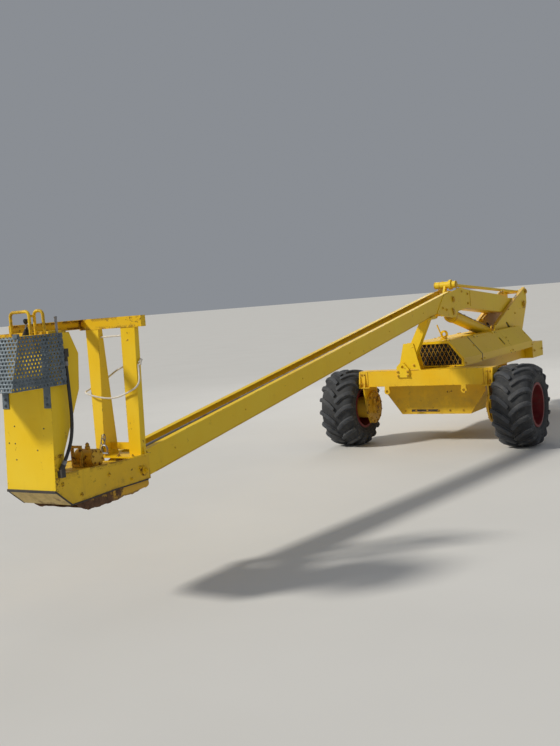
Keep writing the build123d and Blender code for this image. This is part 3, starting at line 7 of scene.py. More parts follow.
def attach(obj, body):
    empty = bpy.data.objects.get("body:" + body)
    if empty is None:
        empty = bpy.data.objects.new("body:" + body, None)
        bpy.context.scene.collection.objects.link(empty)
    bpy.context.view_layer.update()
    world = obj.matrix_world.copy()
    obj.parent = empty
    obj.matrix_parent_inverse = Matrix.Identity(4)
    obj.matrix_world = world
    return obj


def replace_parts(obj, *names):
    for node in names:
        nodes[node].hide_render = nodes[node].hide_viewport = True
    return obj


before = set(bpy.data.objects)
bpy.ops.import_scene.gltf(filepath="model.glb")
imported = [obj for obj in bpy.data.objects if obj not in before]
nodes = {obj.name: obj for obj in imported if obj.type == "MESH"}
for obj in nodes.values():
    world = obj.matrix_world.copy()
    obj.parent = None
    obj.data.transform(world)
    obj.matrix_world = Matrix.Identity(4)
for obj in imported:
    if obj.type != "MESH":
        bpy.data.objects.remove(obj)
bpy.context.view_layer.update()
scene = bpy.context.scene

# The front axle's x in the row, in metres
AXLE_X = -1.3125
X, Y, Z = Vector((1, 0, 0)), Vector((0, 1, 0)), Vector((0, 0, 1))
SIDES = ((1, "left"), (-1, "right"))


# Materials: every pattern is procedural and lies in the piece's own coordinates
class Graph:
    """Small helper to build a material's nodes."""

    def __init__(self, name):
        self.mat = bpy.data.materials.new(name)
        self.mat.use_nodes = True
        self.tree = self.mat.node_tree
        self.tree.nodes.clear()
        self.bsdf = self.node("BsdfPrincipled")
        self.node("OutputMaterial", {0: self.bsdf.outputs[0]})
        self.coord = self.node("TexCoord").outputs["Object"]

    def put(self, socket, value):
        if hasattr(value, "is_output"):
            self.tree.links.new(value, socket)
        elif isinstance(value, tuple) and len(value) == 3 and len(socket.default_value) == 4:
            socket.default_value = (*value, 1.0)
        else:
            socket.default_value = value

    def node(self, kind, inputs=None, **settings):
        """A node with its settings, and its inputs by name or number."""
        n = self.tree.nodes.new("ShaderNode" + kind)
        for key, value in settings.items():
            setattr(n, key, value)
        for key, value in (inputs or {}).items():
            self.put(n.inputs[key], value)
        return n

    def mapped(self, *scale):
        return self.node("Mapping", {0: self.coord, "Scale": scale}).outputs[0]

    def noise(self, scale, detail, rough, vector=None, distortion=0.0):
        return self.node("TexNoise", {"Vector": vector or self.coord, "Scale": scale, "Detail": detail,
                                      "Roughness": rough, "Distortion": distortion}).outputs["Fac"]

    def ramp(self, value, low, high, to_low=0.0, to_high=1.0):
        return self.node("MapRange", {"Value": value, "From Min": low, "From Max": high, "To Min": to_low,
                                      "To Max": to_high}).outputs[0]

    def math(self, op, a, b):
        return self.node("Math", {0: a, 1: b}, operation=op).outputs[0]

    def times(self, a, b):
        return self.math("MULTIPLY", a, b)

    def mix(self, fac, a, b):
        return self.node("Mix", {"Factor": fac, 6: a, 7: b}, data_type="RGBA").outputs[2]

    def part(self, kind, source, which):
        """One part of a vector or a colour."""
        return self.node("Separate" + kind, {0: source}).outputs[which]

    def edges(self, radius):
        """1 on sharp edges, 0 on flat faces."""
        bevel = self.node("Bevel", {"Radius": radius}, samples=4).outputs[0]
        flat = self.node("NewGeometry").outputs["True Normal"]
        alike = self.node("VectorMath", {0: bevel, 1: flat}, operation="DOT_PRODUCT").outputs["Value"]
        return self.ramp(alike, 0.97, 0.80)

    def bump(self, height, strength, distance):
        n = self.node("Bump", {"Strength": strength, "Distance": distance, "Height": height})
        self.put(self.bsdf.inputs["Normal"], n.outputs[0])

    def finish(self, color, rough, metallic=0.0):
        for key, value in (("Base Color", color), ("Roughness", rough), ("Metallic", metallic)):
            self.put(self.bsdf.inputs[key], value)
        return self.mat


def coat(name, grain, spread, low, high):
    """A graph, its main noise, and the colour that the noise mixes from two."""
    g = Graph(name)
    n = g.noise(*grain)
    return g, n, g.mix(g.ramp(n, *spread), low, high)


def yellow_paint(name, wear, grime, low, rim, base=(0.81, 0.525, 0.006), fade=(0.82, 0.58, 0.03)):
    """Old chrome-yellow machine paint: faded patches, runs of grime, chips down to rust.

    Soil lies from the height low to 0.25 m above it, and edges chip over the width rim."""
    g, patches, color = coat(name, (1.7, 4.0, 0.6), (0.42, 0.72), base, fade)
    streaks = g.noise(3.0, 6.0, 0.7, g.mapped(3.6, 3.6, 0.7), 0.4)
    color = g.mix(g.ramp(streaks, 0.56, 0.86, 0.0, grime * 0.6), color, (0.34, 0.19, 0.02))
    height = g.part("XYZ", g.coord, 2)
    soil = g.times(g.ramp(height, low + 0.25, low), g.ramp(g.noise(9.0, 6.0, 0.7), 0.35, 0.7))
    color = g.mix(g.times(soil, 0.42), color, (0.27, 0.16, 0.045))
    shape = g.noise(17.0, 7.0, 0.72, distortion=0.6)
    few = 0.67 - 0.05 * wear
    chips = g.times(g.ramp(shape, few, few + 0.015), g.ramp(g.noise(2.1, 3.0, 0.5), 0.47, 0.56))
    if wear > 1.0:
        few = 0.635 - 0.07 * (wear - 1.3)
        spots = g.ramp(g.noise(34.0, 5.0, 0.68), few, few + 0.015)
        chips = g.math("MAXIMUM", chips, g.times(spots, g.ramp(g.noise(4.5, 3.0, 0.5), 0.48, 0.58)))
    few = 0.60 - 0.10 * wear
    chips = g.math("MAXIMUM", chips, g.times(g.edges(rim), g.ramp(g.noise(14.0, 5.0, 0.65), few, few + 0.06)))
    color = g.mix(chips, color, g.mix(g.noise(60.0, 3.0, 0.6), (0.055, 0.022, 0.010), (0.17, 0.065, 0.02)))
    color = g.mix(g.ramp(shape, 0.60, 0.70, 0.0, 0.22), color, (0.45, 0.20, 0.02))
    g.bump(g.math("SUBTRACT", g.times(g.noise(160.0, 2.0, 0.5), 0.35), chips), 0.35, 0.0012)
    g.bsdf.inputs["Specular IOR Level"].default_value = 0.30
    return g.finish(color, g.math("ADD", g.ramp(patches, 0.3, 0.8, 0.36, 0.56), g.times(chips, 0.3)))


def bare_metal(name, base, rust, metallic=0.75, rough=(0.38, 0.6)):
    """Bare or worn steel with rust blooms."""
    g, n, color = coat(name, (24.0, 5.0, 0.65), (0.35, 0.7), base, tuple(0.72 * c for c in base))
    bloom = g.ramp(g.noise(7.0, 6.0, 0.7), 0.60 - 0.2 * rust, 0.72 - 0.15 * rust)
    color = g.mix(bloom, color, (0.13, 0.05, 0.018))
    g.bump(g.noise(210.0, 2.0, 0.5), 0.25, 0.0008)
    return g.finish(color, g.ramp(n, 0.3, 0.7, *rough), g.ramp(bloom, 0.0, 1.0, metallic, 0.1))


def skid_plate(name):
    """Yellow towards the rear, dark brown towards the front and along the bottom, past ragged borders."""
    g = Graph(name)
    n = g.noise(13.0, 6.0, 0.7)
    ahead, height = (g.part("XYZ", g.coord, axis) for axis in (0, 2))
    ragged = g.math("ADD", g.ramp(ahead, 3.40, 3.82), g.times(g.math("SUBTRACT", n, 0.5), 2.4))
    # Dark brown towards the front, past a ragged border
    dark_ahead = g.ramp(ragged, 0.42, 0.62)
    # Dark brown along the bottom of the plates, below about 0.58 m
    torn = g.ramp(g.math("ADD", height, g.times(n, 0.03)), 0.585, 0.575)
    # The two dark browns for the front and the bottom
    rust = g.mix(g.ramp(g.noise(40.0, 5.0, 0.7), 0.3, 0.7), (0.050, 0.024, 0.012), (0.16, 0.075, 0.03))
    color = g.mix(g.math("MAXIMUM", dark_ahead, g.times(torn, 0.75)), (0.66, 0.36, 0.008), rust)
    g.bump(g.noise(130.0, 4.0, 0.65), 0.4, 0.0015)
    return g.finish(color, g.ramp(dark_ahead, 0.0, 1.0, 0.5, 0.85))


def galvanised(name):
    """Blue-grey zinc-coated sheet with soft spangle and dusty runs; its dark blue-grey is partly the zinc's own tone
    and partly painted shade.
    """
    g = Graph(name)
    spangle = g.node("TexVoronoi", {"Vector": g.coord, "Scale": 34.0}).outputs["Color"]
    red, green = (g.part("Color", spangle, i) for i in (0, 1))
    # Both blue-greys are set darker than the zinc's own tone: partly its real colour, partly painted shade
    color = g.mix(g.ramp(red, 0.0, 1.0), (0.085, 0.110, 0.130), (0.135, 0.170, 0.200))
    dust = g.ramp(g.noise(3.0, 5.0, 0.7, g.mapped(6.0, 6.0, 0.8)), 0.48, 0.75, 0.0, 0.40)
    color = g.mix(dust, color, (0.25, 0.28, 0.29))
    color = g.mix(g.ramp(g.noise(16.0, 5.0, 0.7), 0.66, 0.74, 0.0, 0.7), color, (0.10, 0.06, 0.035))
    g.bump(g.noise(90.0, 2.0, 0.5), 0.15, 0.0008)
    return g.finish(color, g.ramp(green, 0.0, 1.0, 0.45, 0.62), 0.30)


def tyre_rubber(name, base, dusty):
    """Dusty weathered tyre rubber: grey-black, paler on the lugs and in creases; the pale grey on sharp edges is
    partly wear and partly a painted highlight.
    """
    g, n, color = coat(name, (6.0, 5.0, 0.65), (0.35, 0.72), base, tuple(3.0 * c for c in base))
    color = g.mix(g.ramp(g.noise(22.0, 6.0, 0.75), 0.45, 0.78, 0.0, dusty), color, (0.125, 0.12, 0.115))
    # Pale grey on sharp edges: partly wear, partly a painted highlight along the lug edges
    color = g.mix(g.times(g.edges(0.007), 0.45), color, (0.17, 0.17, 0.17))
    g.bump(g.noise(120.0, 4.0, 0.65), 0.3, 0.0015)
    return g.finish(color, g.ramp(n, 0.3, 0.7, 0.62, 0.86))


def red_rim(name):
    """Deep oxide-red rim paint, dull and soiled."""
    g, n, color = coat(name, (8.0, 5.0, 0.65), (0.3, 0.75), (0.13, 0.008, 0.012), (0.23, 0.024, 0.022))
    color = g.mix(g.ramp(g.noise(15.0, 6.0, 0.75), 0.50, 0.72, 0.0, 0.75), color, (0.10, 0.065, 0.045))
    chips = g.times(g.edges(0.006), g.ramp(g.noise(30.0, 4.0, 0.6), 0.50, 0.58))
    g.bump(g.noise(110.0, 3.0, 0.6), 0.25, 0.001)
    return g.finish(g.mix(chips, color, (0.06, 0.03, 0.02)), g.ramp(n, 0.3, 0.7, 0.45, 0.7))


def dark_paint(name, base, rust):
    """Black-brown painted or grimy steel, with dust on what faces up."""
    g, n, color = coat(name, (11.0, 6.0, 0.7), (0.3, 0.75), base, tuple(2.0 * c for c in base))
    bloom = g.ramp(g.noise(19.0, 6.0, 0.7), 0.62 - 0.15 * rust, 0.72 - 0.12 * rust, 0.0, 0.85)
    color = g.mix(bloom, color, (0.12, 0.055, 0.022))
    upward = g.ramp(g.part("XYZ", g.node("NewGeometry").outputs["Normal"], 2), 0.3, 1.0)
    dust = g.times(upward, g.ramp(g.noise(5.0, 4.0, 0.6), 0.35, 0.65, 0.0, 0.6))
    g.bump(g.noise(95.0, 4.0, 0.7), 0.35, 0.0015)
    return g.finish(g.mix(dust, color, (0.22, 0.17, 0.11)), g.ramp(n, 0.3, 0.7, 0.55, 0.82))


def chrome_rod(name):
    """Hard-chromed rod with an oily film and fine scratches along it."""
    g, n, color = coat(name, (5.0, 4.0, 0.6), (0.4, 0.7), (0.62, 0.62, 0.63), (0.44, 0.42, 0.38))
    scratch = g.noise(3.0, 3.0, 0.6, g.mapped(2.0, 220.0, 220.0))
    return g.finish(color, g.ramp(scratch, 0.3, 0.7, 0.12, 0.30), 1.0)


def soft_stuff(name, grain, spread, low, high, relief, strength, depth, rough):
    """Plain rubber, rope or plastic: two shades, a fine relief and its roughness."""
    g, n, color = coat(name, grain, spread, low, high)
    g.bump(g.noise(*relief), strength, depth)
    return g.finish(color, g.ramp(n, 0.3, 0.7, *rough))


M = {
    "yellow": yellow_paint("yellow_paint", 0.5, 0.40, 0.35, 0.006),
    "yellow_boom": yellow_paint("yellow_boom", 0.45, 0.35, -1.0, 0.006),
    "yellow_worn": yellow_paint("yellow_worn", 1.30, 0.62, 0.55, 0.022, (0.78, 0.475, 0.006), (0.79, 0.53, 0.03)),
    "yellow_low": yellow_paint("yellow_low", 0.8, 0.65, 0.45, 0.008, (0.79, 0.465, 0.006), (0.78, 0.51, 0.025)),
    "yellow_dirty": yellow_paint("yellow_dirty", 1.85, 0.95, 0.40, 0.012, (0.64, 0.36, 0.012), (0.56, 0.36, 0.05)),
    "yellow_dark": yellow_paint("yellow_dark", 1.0, 0.85, 0.30, 0.004, (0.66, 0.38, 0.012), (0.60, 0.38, 0.04)),
    "tan": bare_metal("scuffed_tan", (0.64, 0.47, 0.17), 0.15, 0.15, (0.55, 0.8)),
    "skid": skid_plate("skid_yellow_dark_ahead"),
    "steel": bare_metal("bare_steel", (0.30, 0.30, 0.31), 0.4),
    "bolt": bare_metal("bolt_steel", (0.24, 0.22, 0.20), 0.7, 0.6),
    "guard": galvanised("guard_steel"),
    # Two copies of one rubber. The paler, bluish one for the bars and the castor tyre is partly dust and partly
    # painted sunlight with its sheen. The darker one for the carcass is painted shade between the bars.
    "rubber": tyre_rubber("tyre_rubber", (0.019, 0.021, 0.025), 0.55),
    "rubber_dark": tyre_rubber("tyre_carcass_shaded", (0.010, 0.011, 0.013), 0.30),
    "red": red_rim("rim_red"),
    "dark": dark_paint("dark_steel", (0.030, 0.027, 0.024), 0.35),
    "iron": dark_paint("engine_iron", (0.035, 0.034, 0.033), 0.5),
    "hose": soft_stuff("hose_rubber", (18.0, 4.0, 0.6), (0.35, 0.75), (0.012, 0.012, 0.013), (0.045, 0.043, 0.040),
                       (420.0, 2.0, 0.5), 0.3, 0.0006, (0.45, 0.68)),
    "chrome": chrome_rod("rod_chrome"),
    "rope": soft_stuff("rope_fibre", (60.0, 5.0, 0.7), (0.35, 0.7), (0.62, 0.58, 0.50), (0.80, 0.78, 0.72),
                       (500.0, 3.0, 0.6), 0.5, 0.0008, (0.8, 0.95)),
    "plastic": soft_stuff("control_plastic", (70.0, 4.0, 0.6), (0.4, 0.75), (0.02, 0.02, 0.02), (0.056, 0.056, 0.056),
                          (300.0, 2.0, 0.5), 0.2, 0.0005, (0.35, 0.6)),
}


# Shape helpers
def at(x, y, z):
    """The row's point for the machine's own millimetres: forward of the front axle, left, up."""
    return Vector((x / 1000 + AXLE_X, y / 1000, z / 1000))


def circle(n, start=0.0):
    """Cosine and sine of n even steps round a circle; start is a share of one step."""
    return [(math.cos(t), math.sin(t)) for t in (math.tau * (i + start) / n for i in range(n))]


def axes_for(direction):
    w = Vector(direction).normalized()
    u = (Z if abs(w.z) < 0.9 else X).cross(w).normalized()
    return u, w.cross(u), w


def smooth(mesh, angle):
    """Smooth rounds with crisp edges."""
    mesh.polygons.foreach_set("use_smooth", [True] * len(mesh.polygons))
    mesh.set_sharp_from_angle(angle=math.radians(angle))


def bevel(obj, width):
    """Two-step bevel of a width in millimetres."""
    mod = obj.modifiers.new("edges", "BEVEL")
    mod.width = width / 1000
    mod.segments = 2
    mod.limit_method = "ANGLE"
    mod.angle_limit = math.radians(35)
    mod.harden_normals = True


def settle(name, mesh, body, width=0.0, angle=35):
    """An object of the mesh that rides on a body, its edges bevelled to a width."""
    obj = bpy.data.objects.new(name, mesh)
    scene.collection.objects.link(obj)
    smooth(mesh, angle)
    if width:
        bevel(obj, width)
    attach(obj, body)
    return obj


class Pile:
    """Many small solids in one mesh, in the machine's own millimetres; mark numbers a solid's material."""

    def __init__(self):
        self.verts, self.faces, self.marks = [], [], []

    def rings(self, rings, mark=0, closed=False):
        """Skin over rings of equal count, capped unless the last ring joins the first."""
        base, n, count = len(self.verts), len(rings[0]), len(rings)
        self.verts.extend(Vector(v) for ring in rings for v in ring)
        faces = []
        for i in range(count if closed else count - 1):
            a, b = i * n, (i + 1) % count * n
            faces += [(a + j, a + (j + 1) % n, b + (j + 1) % n, b + j) for j in range(n)]
        if not closed:
            faces += [range(n)[::-1], range((count - 1) * n, count * n)]
        self.faces.extend(tuple(base + i for i in f) for f in faces)
        self.marks.extend([mark] * len(faces))

    def lathe(self, profile, centre, direction, n=32, mark=0):
        """Profile of (distance along, radius) turned about a direction."""
        u, v, w = axes_for(direction)
        centre = Vector(centre)
        self.rings([[centre + w * along + (u * c + v * s) * max(radius, 0.2) for c, s in circle(n)]
                    for along, radius in profile], mark)

    def rod(self, a, b, radius, n=12, mark=0, chamfer=0.0):
        a, b = Vector(a), Vector(b)
        length = (b - a).length
        c = min(chamfer, radius * 0.6, length * 0.3)
        profile = [(0, radius - c), (c, radius), (length - c, radius), (length, radius - c)]
        self.lathe(profile if c else profile[::3], a, b - a, n, mark)

    def tube(self, points, radius, n=10, mark=0):
        """Round tube through points, its rings turned along the path."""
        points = [Vector(p) for p in points]
        rings, u = [], None
        for i, p in enumerate(points):
            w = (points[min(i + 1, len(points) - 1)] - points[max(i - 1, 0)]).normalized()
            u = axes_for(w)[0] if u is None else u
            u = (u - w * u.dot(w)).normalized()
            v = w.cross(u)
            rings.append([p + (u * c + v * s) * radius for c, s in circle(n)])
        self.rings(rings, mark)

    def bend(self, places, steps, radius, n):
        """Round tube along a smooth line."""
        self.tube(spline(places, steps), radius, n)

    def hoop(self, outline, centre, n):
        """Closed outline of (y, radius) taken round an axis that lies across the machine."""
        self.rings([[centre + Vector((r * s, y, r * c)) for y, r in outline] for c, s in circle(n)], closed=True)

    def plate(self, outline, y0, y1, mark=0):
        """Side outline of (x, z) between two y."""
        self.rings([[(x, y, z) for x, z in outline] for y in (y0, y1)], mark)

    def slab(self, outline, x0, x1, mark=0):
        """Front outline of (y, z) between two x."""
        self.rings([[(x, y, z) for y, z in outline] for x in (x0, x1)], mark)

    def block(self, lo, hi, mark=0):
        """Box between two corners."""
        (x0, y0, z0), (x1, y1, z1) = lo, hi
        self.plate([(x0, z0), (x1, z0), (x1, z1), (x0, z1)], y0, y1, mark)

    def bolt(self, place, direction, size, washer=True, turn=0.3, mark=0):
        """Hexagon head on a washer; size is the head's half width."""
        u, v, w = axes_for(direction)
        place = Vector(place)
        if washer:
            self.lathe([(-1, size * 1.55), (1.8, size * 1.5), (2.6, size * 1.35)], place, w, 20, mark)
        self.rings([[place + w * h + (u * c + v * s) * size * r for c, s in circle(6, turn * 3 / math.pi)]
                    for h, r in ((2, 1.0), (size * 0.95, 1.0), (size * 1.15, 0.84))], mark)
        self.lathe([(size, size * 0.45), (size * 1.5, size * 0.45), (size * 1.62, size * 0.3)], place, w, 10, mark)

    def bolts(self, places, direction, size):
        for place in places:
            self.bolt(place, direction, size)

    def bolt_ring(self, centre, radius, n, start, direction, size, washer=True, turned=False):
        """Bolts round an axis that lies across the machine."""
        for i, (c, s) in enumerate(circle(n, start)):
            self.bolt(Vector(centre) + X * radius * c + Z * radius * s, direction, size, washer, i if turned else 0.3)

    def place(self, name, mats, body, width=0.0, angle=35):
        """The pile as a piece on a body, in one material or in those that the marks number."""
        mesh = bpy.data.meshes.new(name)
        mesh.from_pydata([at(*v) for v in self.verts], [], self.faces)
        for mat in mats.split():
            mesh.materials.append(M[mat])
        mesh.polygons.foreach_set("material_index", self.marks)
        bm = bmesh.new()
        bm.from_mesh(mesh)
        bmesh.ops.recalc_face_normals(bm, faces=bm.faces)
        bm.to_mesh(mesh)
        bm.free()
        return settle(name, mesh, body, width, angle)


def spline(points, steps):
    """Smooth line through 2-D or 3-D points."""
    pts = [Vector(p) for p in points]
    out = []
    for i in range(len(pts) - 1):
        p0, p1, p2, p3 = pts[max(i - 1, 0)], pts[i], pts[i + 1], pts[min(i + 2, len(pts) - 1)]
        for t in (k / steps for k in range(steps)):
            out.append(0.5 * (2 * p1 + (p2 - p0) * t + (2 * p0 - 5 * p1 + 4 * p2 - p3) * t * t
                              + (3 * p1 - p0 - 3 * p2 + p3) * t ** 3))
    return out + [pts[-1]]


# The CAD pieces by material; the others are plain yellow
NODES_OF = {
    "yellow_boom": "boom_front boom_arm boom_knuckle",
    "yellow_worn": "platform_base platform_rail control_hoops",
    "yellow_dirty": "platform_link wheel_motor_left wheel_motor_right hood_grille deck_valve",
    "yellow_low": "belly_pan front_beam main_frame",
    "skid": "platform_skid", "iron": "engine_block", "chrome": "lift_rod", "guard": "hand_guard",
    "red": "rim_left rim_right castor_rim", "rubber": "tyre_left tyre_right castor_tyre",
    "dark": "hose_fittings", "hose": "control_hose", "plastic": "control_levers", "steel": "front_level_rod",
}
MATERIAL = {node: mat for mat, names in NODES_OF.items() for node in names.split()}
UNBEVELLED = ("tyre_left", "tyre_right", "castor_tyre", "control_hose", "control_levers", "hood_grille")

for name, obj in nodes.items():
    obj.data.materials.clear()
    obj.data.materials.append(M[MATERIAL.get(name, "yellow")])
    smooth(obj.data, 32)
    if name not in UNBEVELLED:
        bevel(obj, 2.5)


def photo_camera():
    """Place, angles and focal length in pixels, as fitted to the photograph of 746 pixels height."""
    place, focal, pixels, sensor = (7.4875, 3.61, 1.55), 950.0, 746.0, 36.0
    yaw, pitch, roll = (math.radians(v) for v in (-31.25, 4.29, -4.66))
    d = Vector((-math.cos(yaw) * math.cos(pitch), math.sin(yaw) * math.cos(pitch), -math.sin(pitch)))
    r = d.cross(Z).normalized()
    u = r.cross(d)
    right = math.cos(roll) * r + math.sin(roll) * u
    up = -math.sin(roll) * r + math.cos(roll) * u
    data = bpy.data.cameras.new("camera")
    data.sensor_fit = "AUTO"
    data.sensor_width = sensor
    data.lens = focal / pixels * sensor
    data.clip_end = 600.0
    cam = bpy.data.objects.new("camera", data)
    scene.collection.objects.link(cam)
    cam.matrix_world = Matrix([(right[i], up[i], -d[i], place[i]) for i in range(3)] + [(0, 0, 0, 1)])
    scene.camera = cam


# Cords on the platform, by their control points
HOSE = ((5244, 190, 1335), (5250, 200, 1200), (5250, 203, 1060), (5262, 200, 950), (5298, 195, 870), (5328, 188, 820))
# Rope looped round both posts
ROPE = ((4689, 199, 1268), (4692, 203, 1215), (4708, 213, 1170), (4722, 196, 1140), (4722, 160, 1124),
        (4717, 110, 1105), (4722, 50, 1086), (4736, -10, 1084), (4756, -70, 1097), (4763, -120, 1112),
        (4755, -157, 1125), (4722, -152, 1136), (4680, -148, 1150), (4636, -150, 1166), (4608, -138, 1178),
        (4606, -100, 1194), (4614, -62, 1212), (4632, -10, 1234), (4644, 50, 1253), (4642, 110, 1268),
        (4640, 165, 1280), (4648, 203, 1290), (4676, 206, 1294))


def cord_line(name, places, radius, facets, mat):
    curve = bpy.data.curves.new(name, "CURVE")
    curve.dimensions = "3D"
    line = curve.splines.new("NURBS")
    line.points.add(len(places) - 1)
    for point, place in zip(line.points, places):
        point.co = (*at(*place), 1.0)
    line.order_u = 3
    line.use_endpoint_u = True
    line.resolution_u = 16
    curve.bevel_depth = radius
    curve.bevel_resolution = facets
    curve.use_fill_caps = True
    curve.materials.append(M[mat])
    obj = bpy.data.objects.new(name, curve)
    scene.collection.objects.link(obj)
    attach(obj, "platform")
    return obj


def control_hose():
    obj = cord_line("hose_line", HOSE, 0.009, 6, "hose")
    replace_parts(obj, "control_hose")
    pile = Pile()
    for end, inner in ((HOSE[0], HOSE[1]), (HOSE[-1], HOSE[-2])):
        a = Vector(end)
        d = (a - Vector(inner)).normalized()
        pile.lathe([(-22, 10.2), (-20, 12.5), (0, 12.5), (2, 10.5), (5, 10.5)], a, d, 20)
        pile.bolt(a + d * 3, d, 12, False)
    ferrules = pile.place("hose_ferrules", "steel", "platform", 0.4)


def post_rope():
    obj = cord_line("post_rope", ROPE, 0.005, 5, "rope")
    knot = Pile()
    knot.rod((4681, 190, 1274), (4681, 206, 1274), 3.5, 10)
    for a, b in (((4689, 204, 1262), (4671, 208, 1284)), ((4690, 206, 1283), (4670, 202, 1268)),
                 ((4680, 210, 1290), (4682, 210, 1262))):
        knot.bend([a, (Vector(a) + Vector(b)) / 2 + Vector((2, 4, 0)), b], 5, 4.5, 8)
    piece = knot.place("rope_knot", "rope", "platform", angle=60)


TYRE_R, TYRE_HALF, WHEEL_Y = 393.5, 190, 897
BAR_H, BARS = 27, 17
# Carcass from the crown to the bead: distance from the middle, radius
CARCASS = ((0, 368.5), (45, 367.5), (90, 364.5), (130, 357), (160, 340), (176, 315), (182.5, 285), (178, 255),
           (168, 235), (160, 218), (156.7, 197.5))
# Its stretches down to the widest place, which carry the bars
TREAD = tuple(zip(CARCASS[:6], CARCASS[1:7]))
# Middle of a bar: distance from the tyre's middle, distance ahead along the tread
BAR_LINE = ((4, 84), (28, 62), (60, 30), (92, 6), (125, -14), (155, -27), (176, -35), (183.5, -40))
# Section of a bar: across, height as a share of the bar's height
BAR_SECTION = ((-23.5, -0.25), (-20.5, 0.55), (-18.5, 0.88), (-14.5, 0.985), (-8, 1.0), (8, 1.0), (14.5, 0.985),
               (18.5, 0.88), (20.5, 0.55), (23.5, -0.25))


def tread_point(y, ahead, lift, side, turn):
    """A point over the carcass at y from its middle, ahead along the tread, lifted off the carcass."""
    steepest, shoulder, rounding = 1.35, 105, 0.0022
    for (y0, r0), (y1, r1) in TREAD:
        if y <= y1:
            break
    tilt = min(1.0, math.atan2(r0 - r1, y1 - y0) / steepest) ** 1.5 * steepest
    radius = r0 + (r1 - r0) * min(max((y - y0) / (y1 - y0), 0.0), 1.0) + lift * math.cos(tilt)
    across = min(y + lift * math.sin(tilt), TYRE_HALF)
    radius = min(radius, TYRE_R - max(0.0, across - shoulder) ** 2 * rounding)
    angle = turn + ahead / TYRE_R
    return Vector((radius * math.sin(angle), side * across, radius * math.cos(angle)))


def drive_tyre(side, hand):
    """Carcass with two beads on each wall, and bars that stand half a step apart on its two halves."""
    pile = Pile()
    centre = Vector((0, side * WHEEL_Y, TYRE_R))
    half = spline(CARCASS, 4)
    pile.hoop([(-a, r) for a, r in half[::-1]] + half[1:], centre, 120)
    line = spline(BAR_LINE, 3)
    for wall in (-1, 1):
        for radius, y in ((300, 180), (243, 172.7)):
            pile.hoop([(wall * y + 3.5 * s, radius + 3.5 * c) for c, s in circle(6)], centre, 96)
        for i in range(BARS):
            turn = math.tau * (i + (0.5 if wall < 0 else 0.0)) / BARS
            rings = []
            for k, p in enumerate(line):
                ahead = (line[min(k + 1, len(line) - 1)] - line[max(k - 1, 0)]).normalized()
                across = Vector((-ahead[1], ahead[0])) * (0.92 + 0.22 * min(1.0, p[0] / 180))
                grow = min(1.0, 0.80 + 0.10 * k)
                fade = min(1.0, max(0.15, 1.0 - (p[0] - 165) / 21.5))
                ring = []
                for s, h in BAR_SECTION:
                    q = p + across * s
                    lift = h * BAR_H * grow * (fade if h > 0 else 1.0)
                    ring.append(centre + tread_point(max(q[0], 0.5), q[1], lift, wall, turn))
                rings.append(ring)
            pile.rings(rings, 1)
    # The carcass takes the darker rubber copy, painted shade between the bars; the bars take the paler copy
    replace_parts(pile.place("tyre_" + hand + "_rubber", "rubber_dark rubber", "wheel_" + hand, angle=40), "tyre_" + hand)


def wheel_fittings(side, hand):
    """Hub cap, wheel nuts and valve on a rim; bolts and ports on its wheel motor."""
    out = Y * side
    pile = Pile()
    disc = Vector((0, side * 847, 393.5))
    pile.bolt_ring(disc, 78, 8, 0.5, out, 11.5)
    pile.lathe([(0, 52), (30, 50), (38, 44), (40, 30)], disc, out, 40)
    pile.bolt_ring(disc + out * 36, 36, 5, 0.2, out, 5, False)
    valve = disc + Vector((150, 0, 30)) + out * 22
    pile.rod(valve, valve + out * 30, 4, 10)
    pile.rod(valve + out * 28, valve + out * 40, 5.5, 10)
    pile.place("wheel_nuts_" + hand, "red", "wheel_" + hand, 0.8)
    pile = Pile()
    inner = Vector((0, side * 622, 393.5))
    pile.bolt_ring(inner, 146, 12, 0.5, -out, 9, turned=True)
    cap = inner - out * 40
    pile.lathe([(-3, 62), (4, 60), (6, 50), (6, 30), (12, 28)], cap, -out, 32)
    pile.bolt_ring(cap - out * 3, 48, 6, 0.3, -out, 6, False)
    for x in (-45, 45):
        port = cap + Vector((x, side * 20, 41.25))
        pile.rod(port, port + Z * 55, 12, 14, chamfer=2)
        pile.bolt(port + Z * 50, Z, 11, False)
    pile.place("motor_bolts_" + hand, "yellow_dirty", "chassis", 0.8)


# Perforated guard: distance between holes and between rows, radius of a hole, in metres
PITCH, RISE, HOLE = 0.0225, 0.0185, 0.0056
# Outline of the sheet round one hole, as shares of half the pitch and half the rise
CELL = ((1, 0), (1, 0.5), (1, 1), (0, 1), (-1, 1), (-1, 0.5), (-1, 0), (-1, -0.5), (-1, -1), (0, -1), (1, -1),
        (1, -0.5))


def perforated(origin, u, v, cuts, width, height, seed):
    """Slightly wavy sheet of staggered round holes in the plane of u and v, cut back along straight lines."""
    bm = bmesh.new()
    wave, waves = u.cross(v) * 0.0018, 9.0
    for row in range(int(height / RISE) + 2):
        shift = -PITCH * (0.5 if row % 2 else 1.0)
        for col in range(int(width / PITCH) + 3):
            middle = origin + u * (shift + (col + 0.5) * PITCH) + v * (row - 0.3) * RISE
            inner, outer = [], []
            for (c, s), (a, b) in zip(circle(12), CELL):
                inner.append(bm.verts.new(middle + u * HOLE * c + v * HOLE * s))
                outer.append(bm.verts.new(middle + u * PITCH / 2 * a + v * RISE / 2 * b))
            for k in range(12):
                m = (k + 1) % 12
                bm.faces.new((inner[k], outer[k], outer[m], inner[m]))
    for point, away in cuts:
        bmesh.ops.bisect_plane(bm, geom=bm.verts[:] + bm.edges[:] + bm.faces[:], plane_co=point, plane_no=away,
                               clear_outer=True)
    bmesh.ops.remove_doubles(bm, verts=bm.verts, dist=1e-5)
    for vert in bm.verts:
        vert.co += wave * noise.noise(vert.co * waves + X * seed)
    return bm


def thicken(obj, thickness):
    mod = obj.modifiers.new("thickness", "SOLIDIFY")
    mod.thickness = thickness
    mod.offset = 0.0


def shield_face(z):
    """The leg shield's front face at a height."""
    return 5382.0 - 52.0 * (z - 690.0) / 794.0


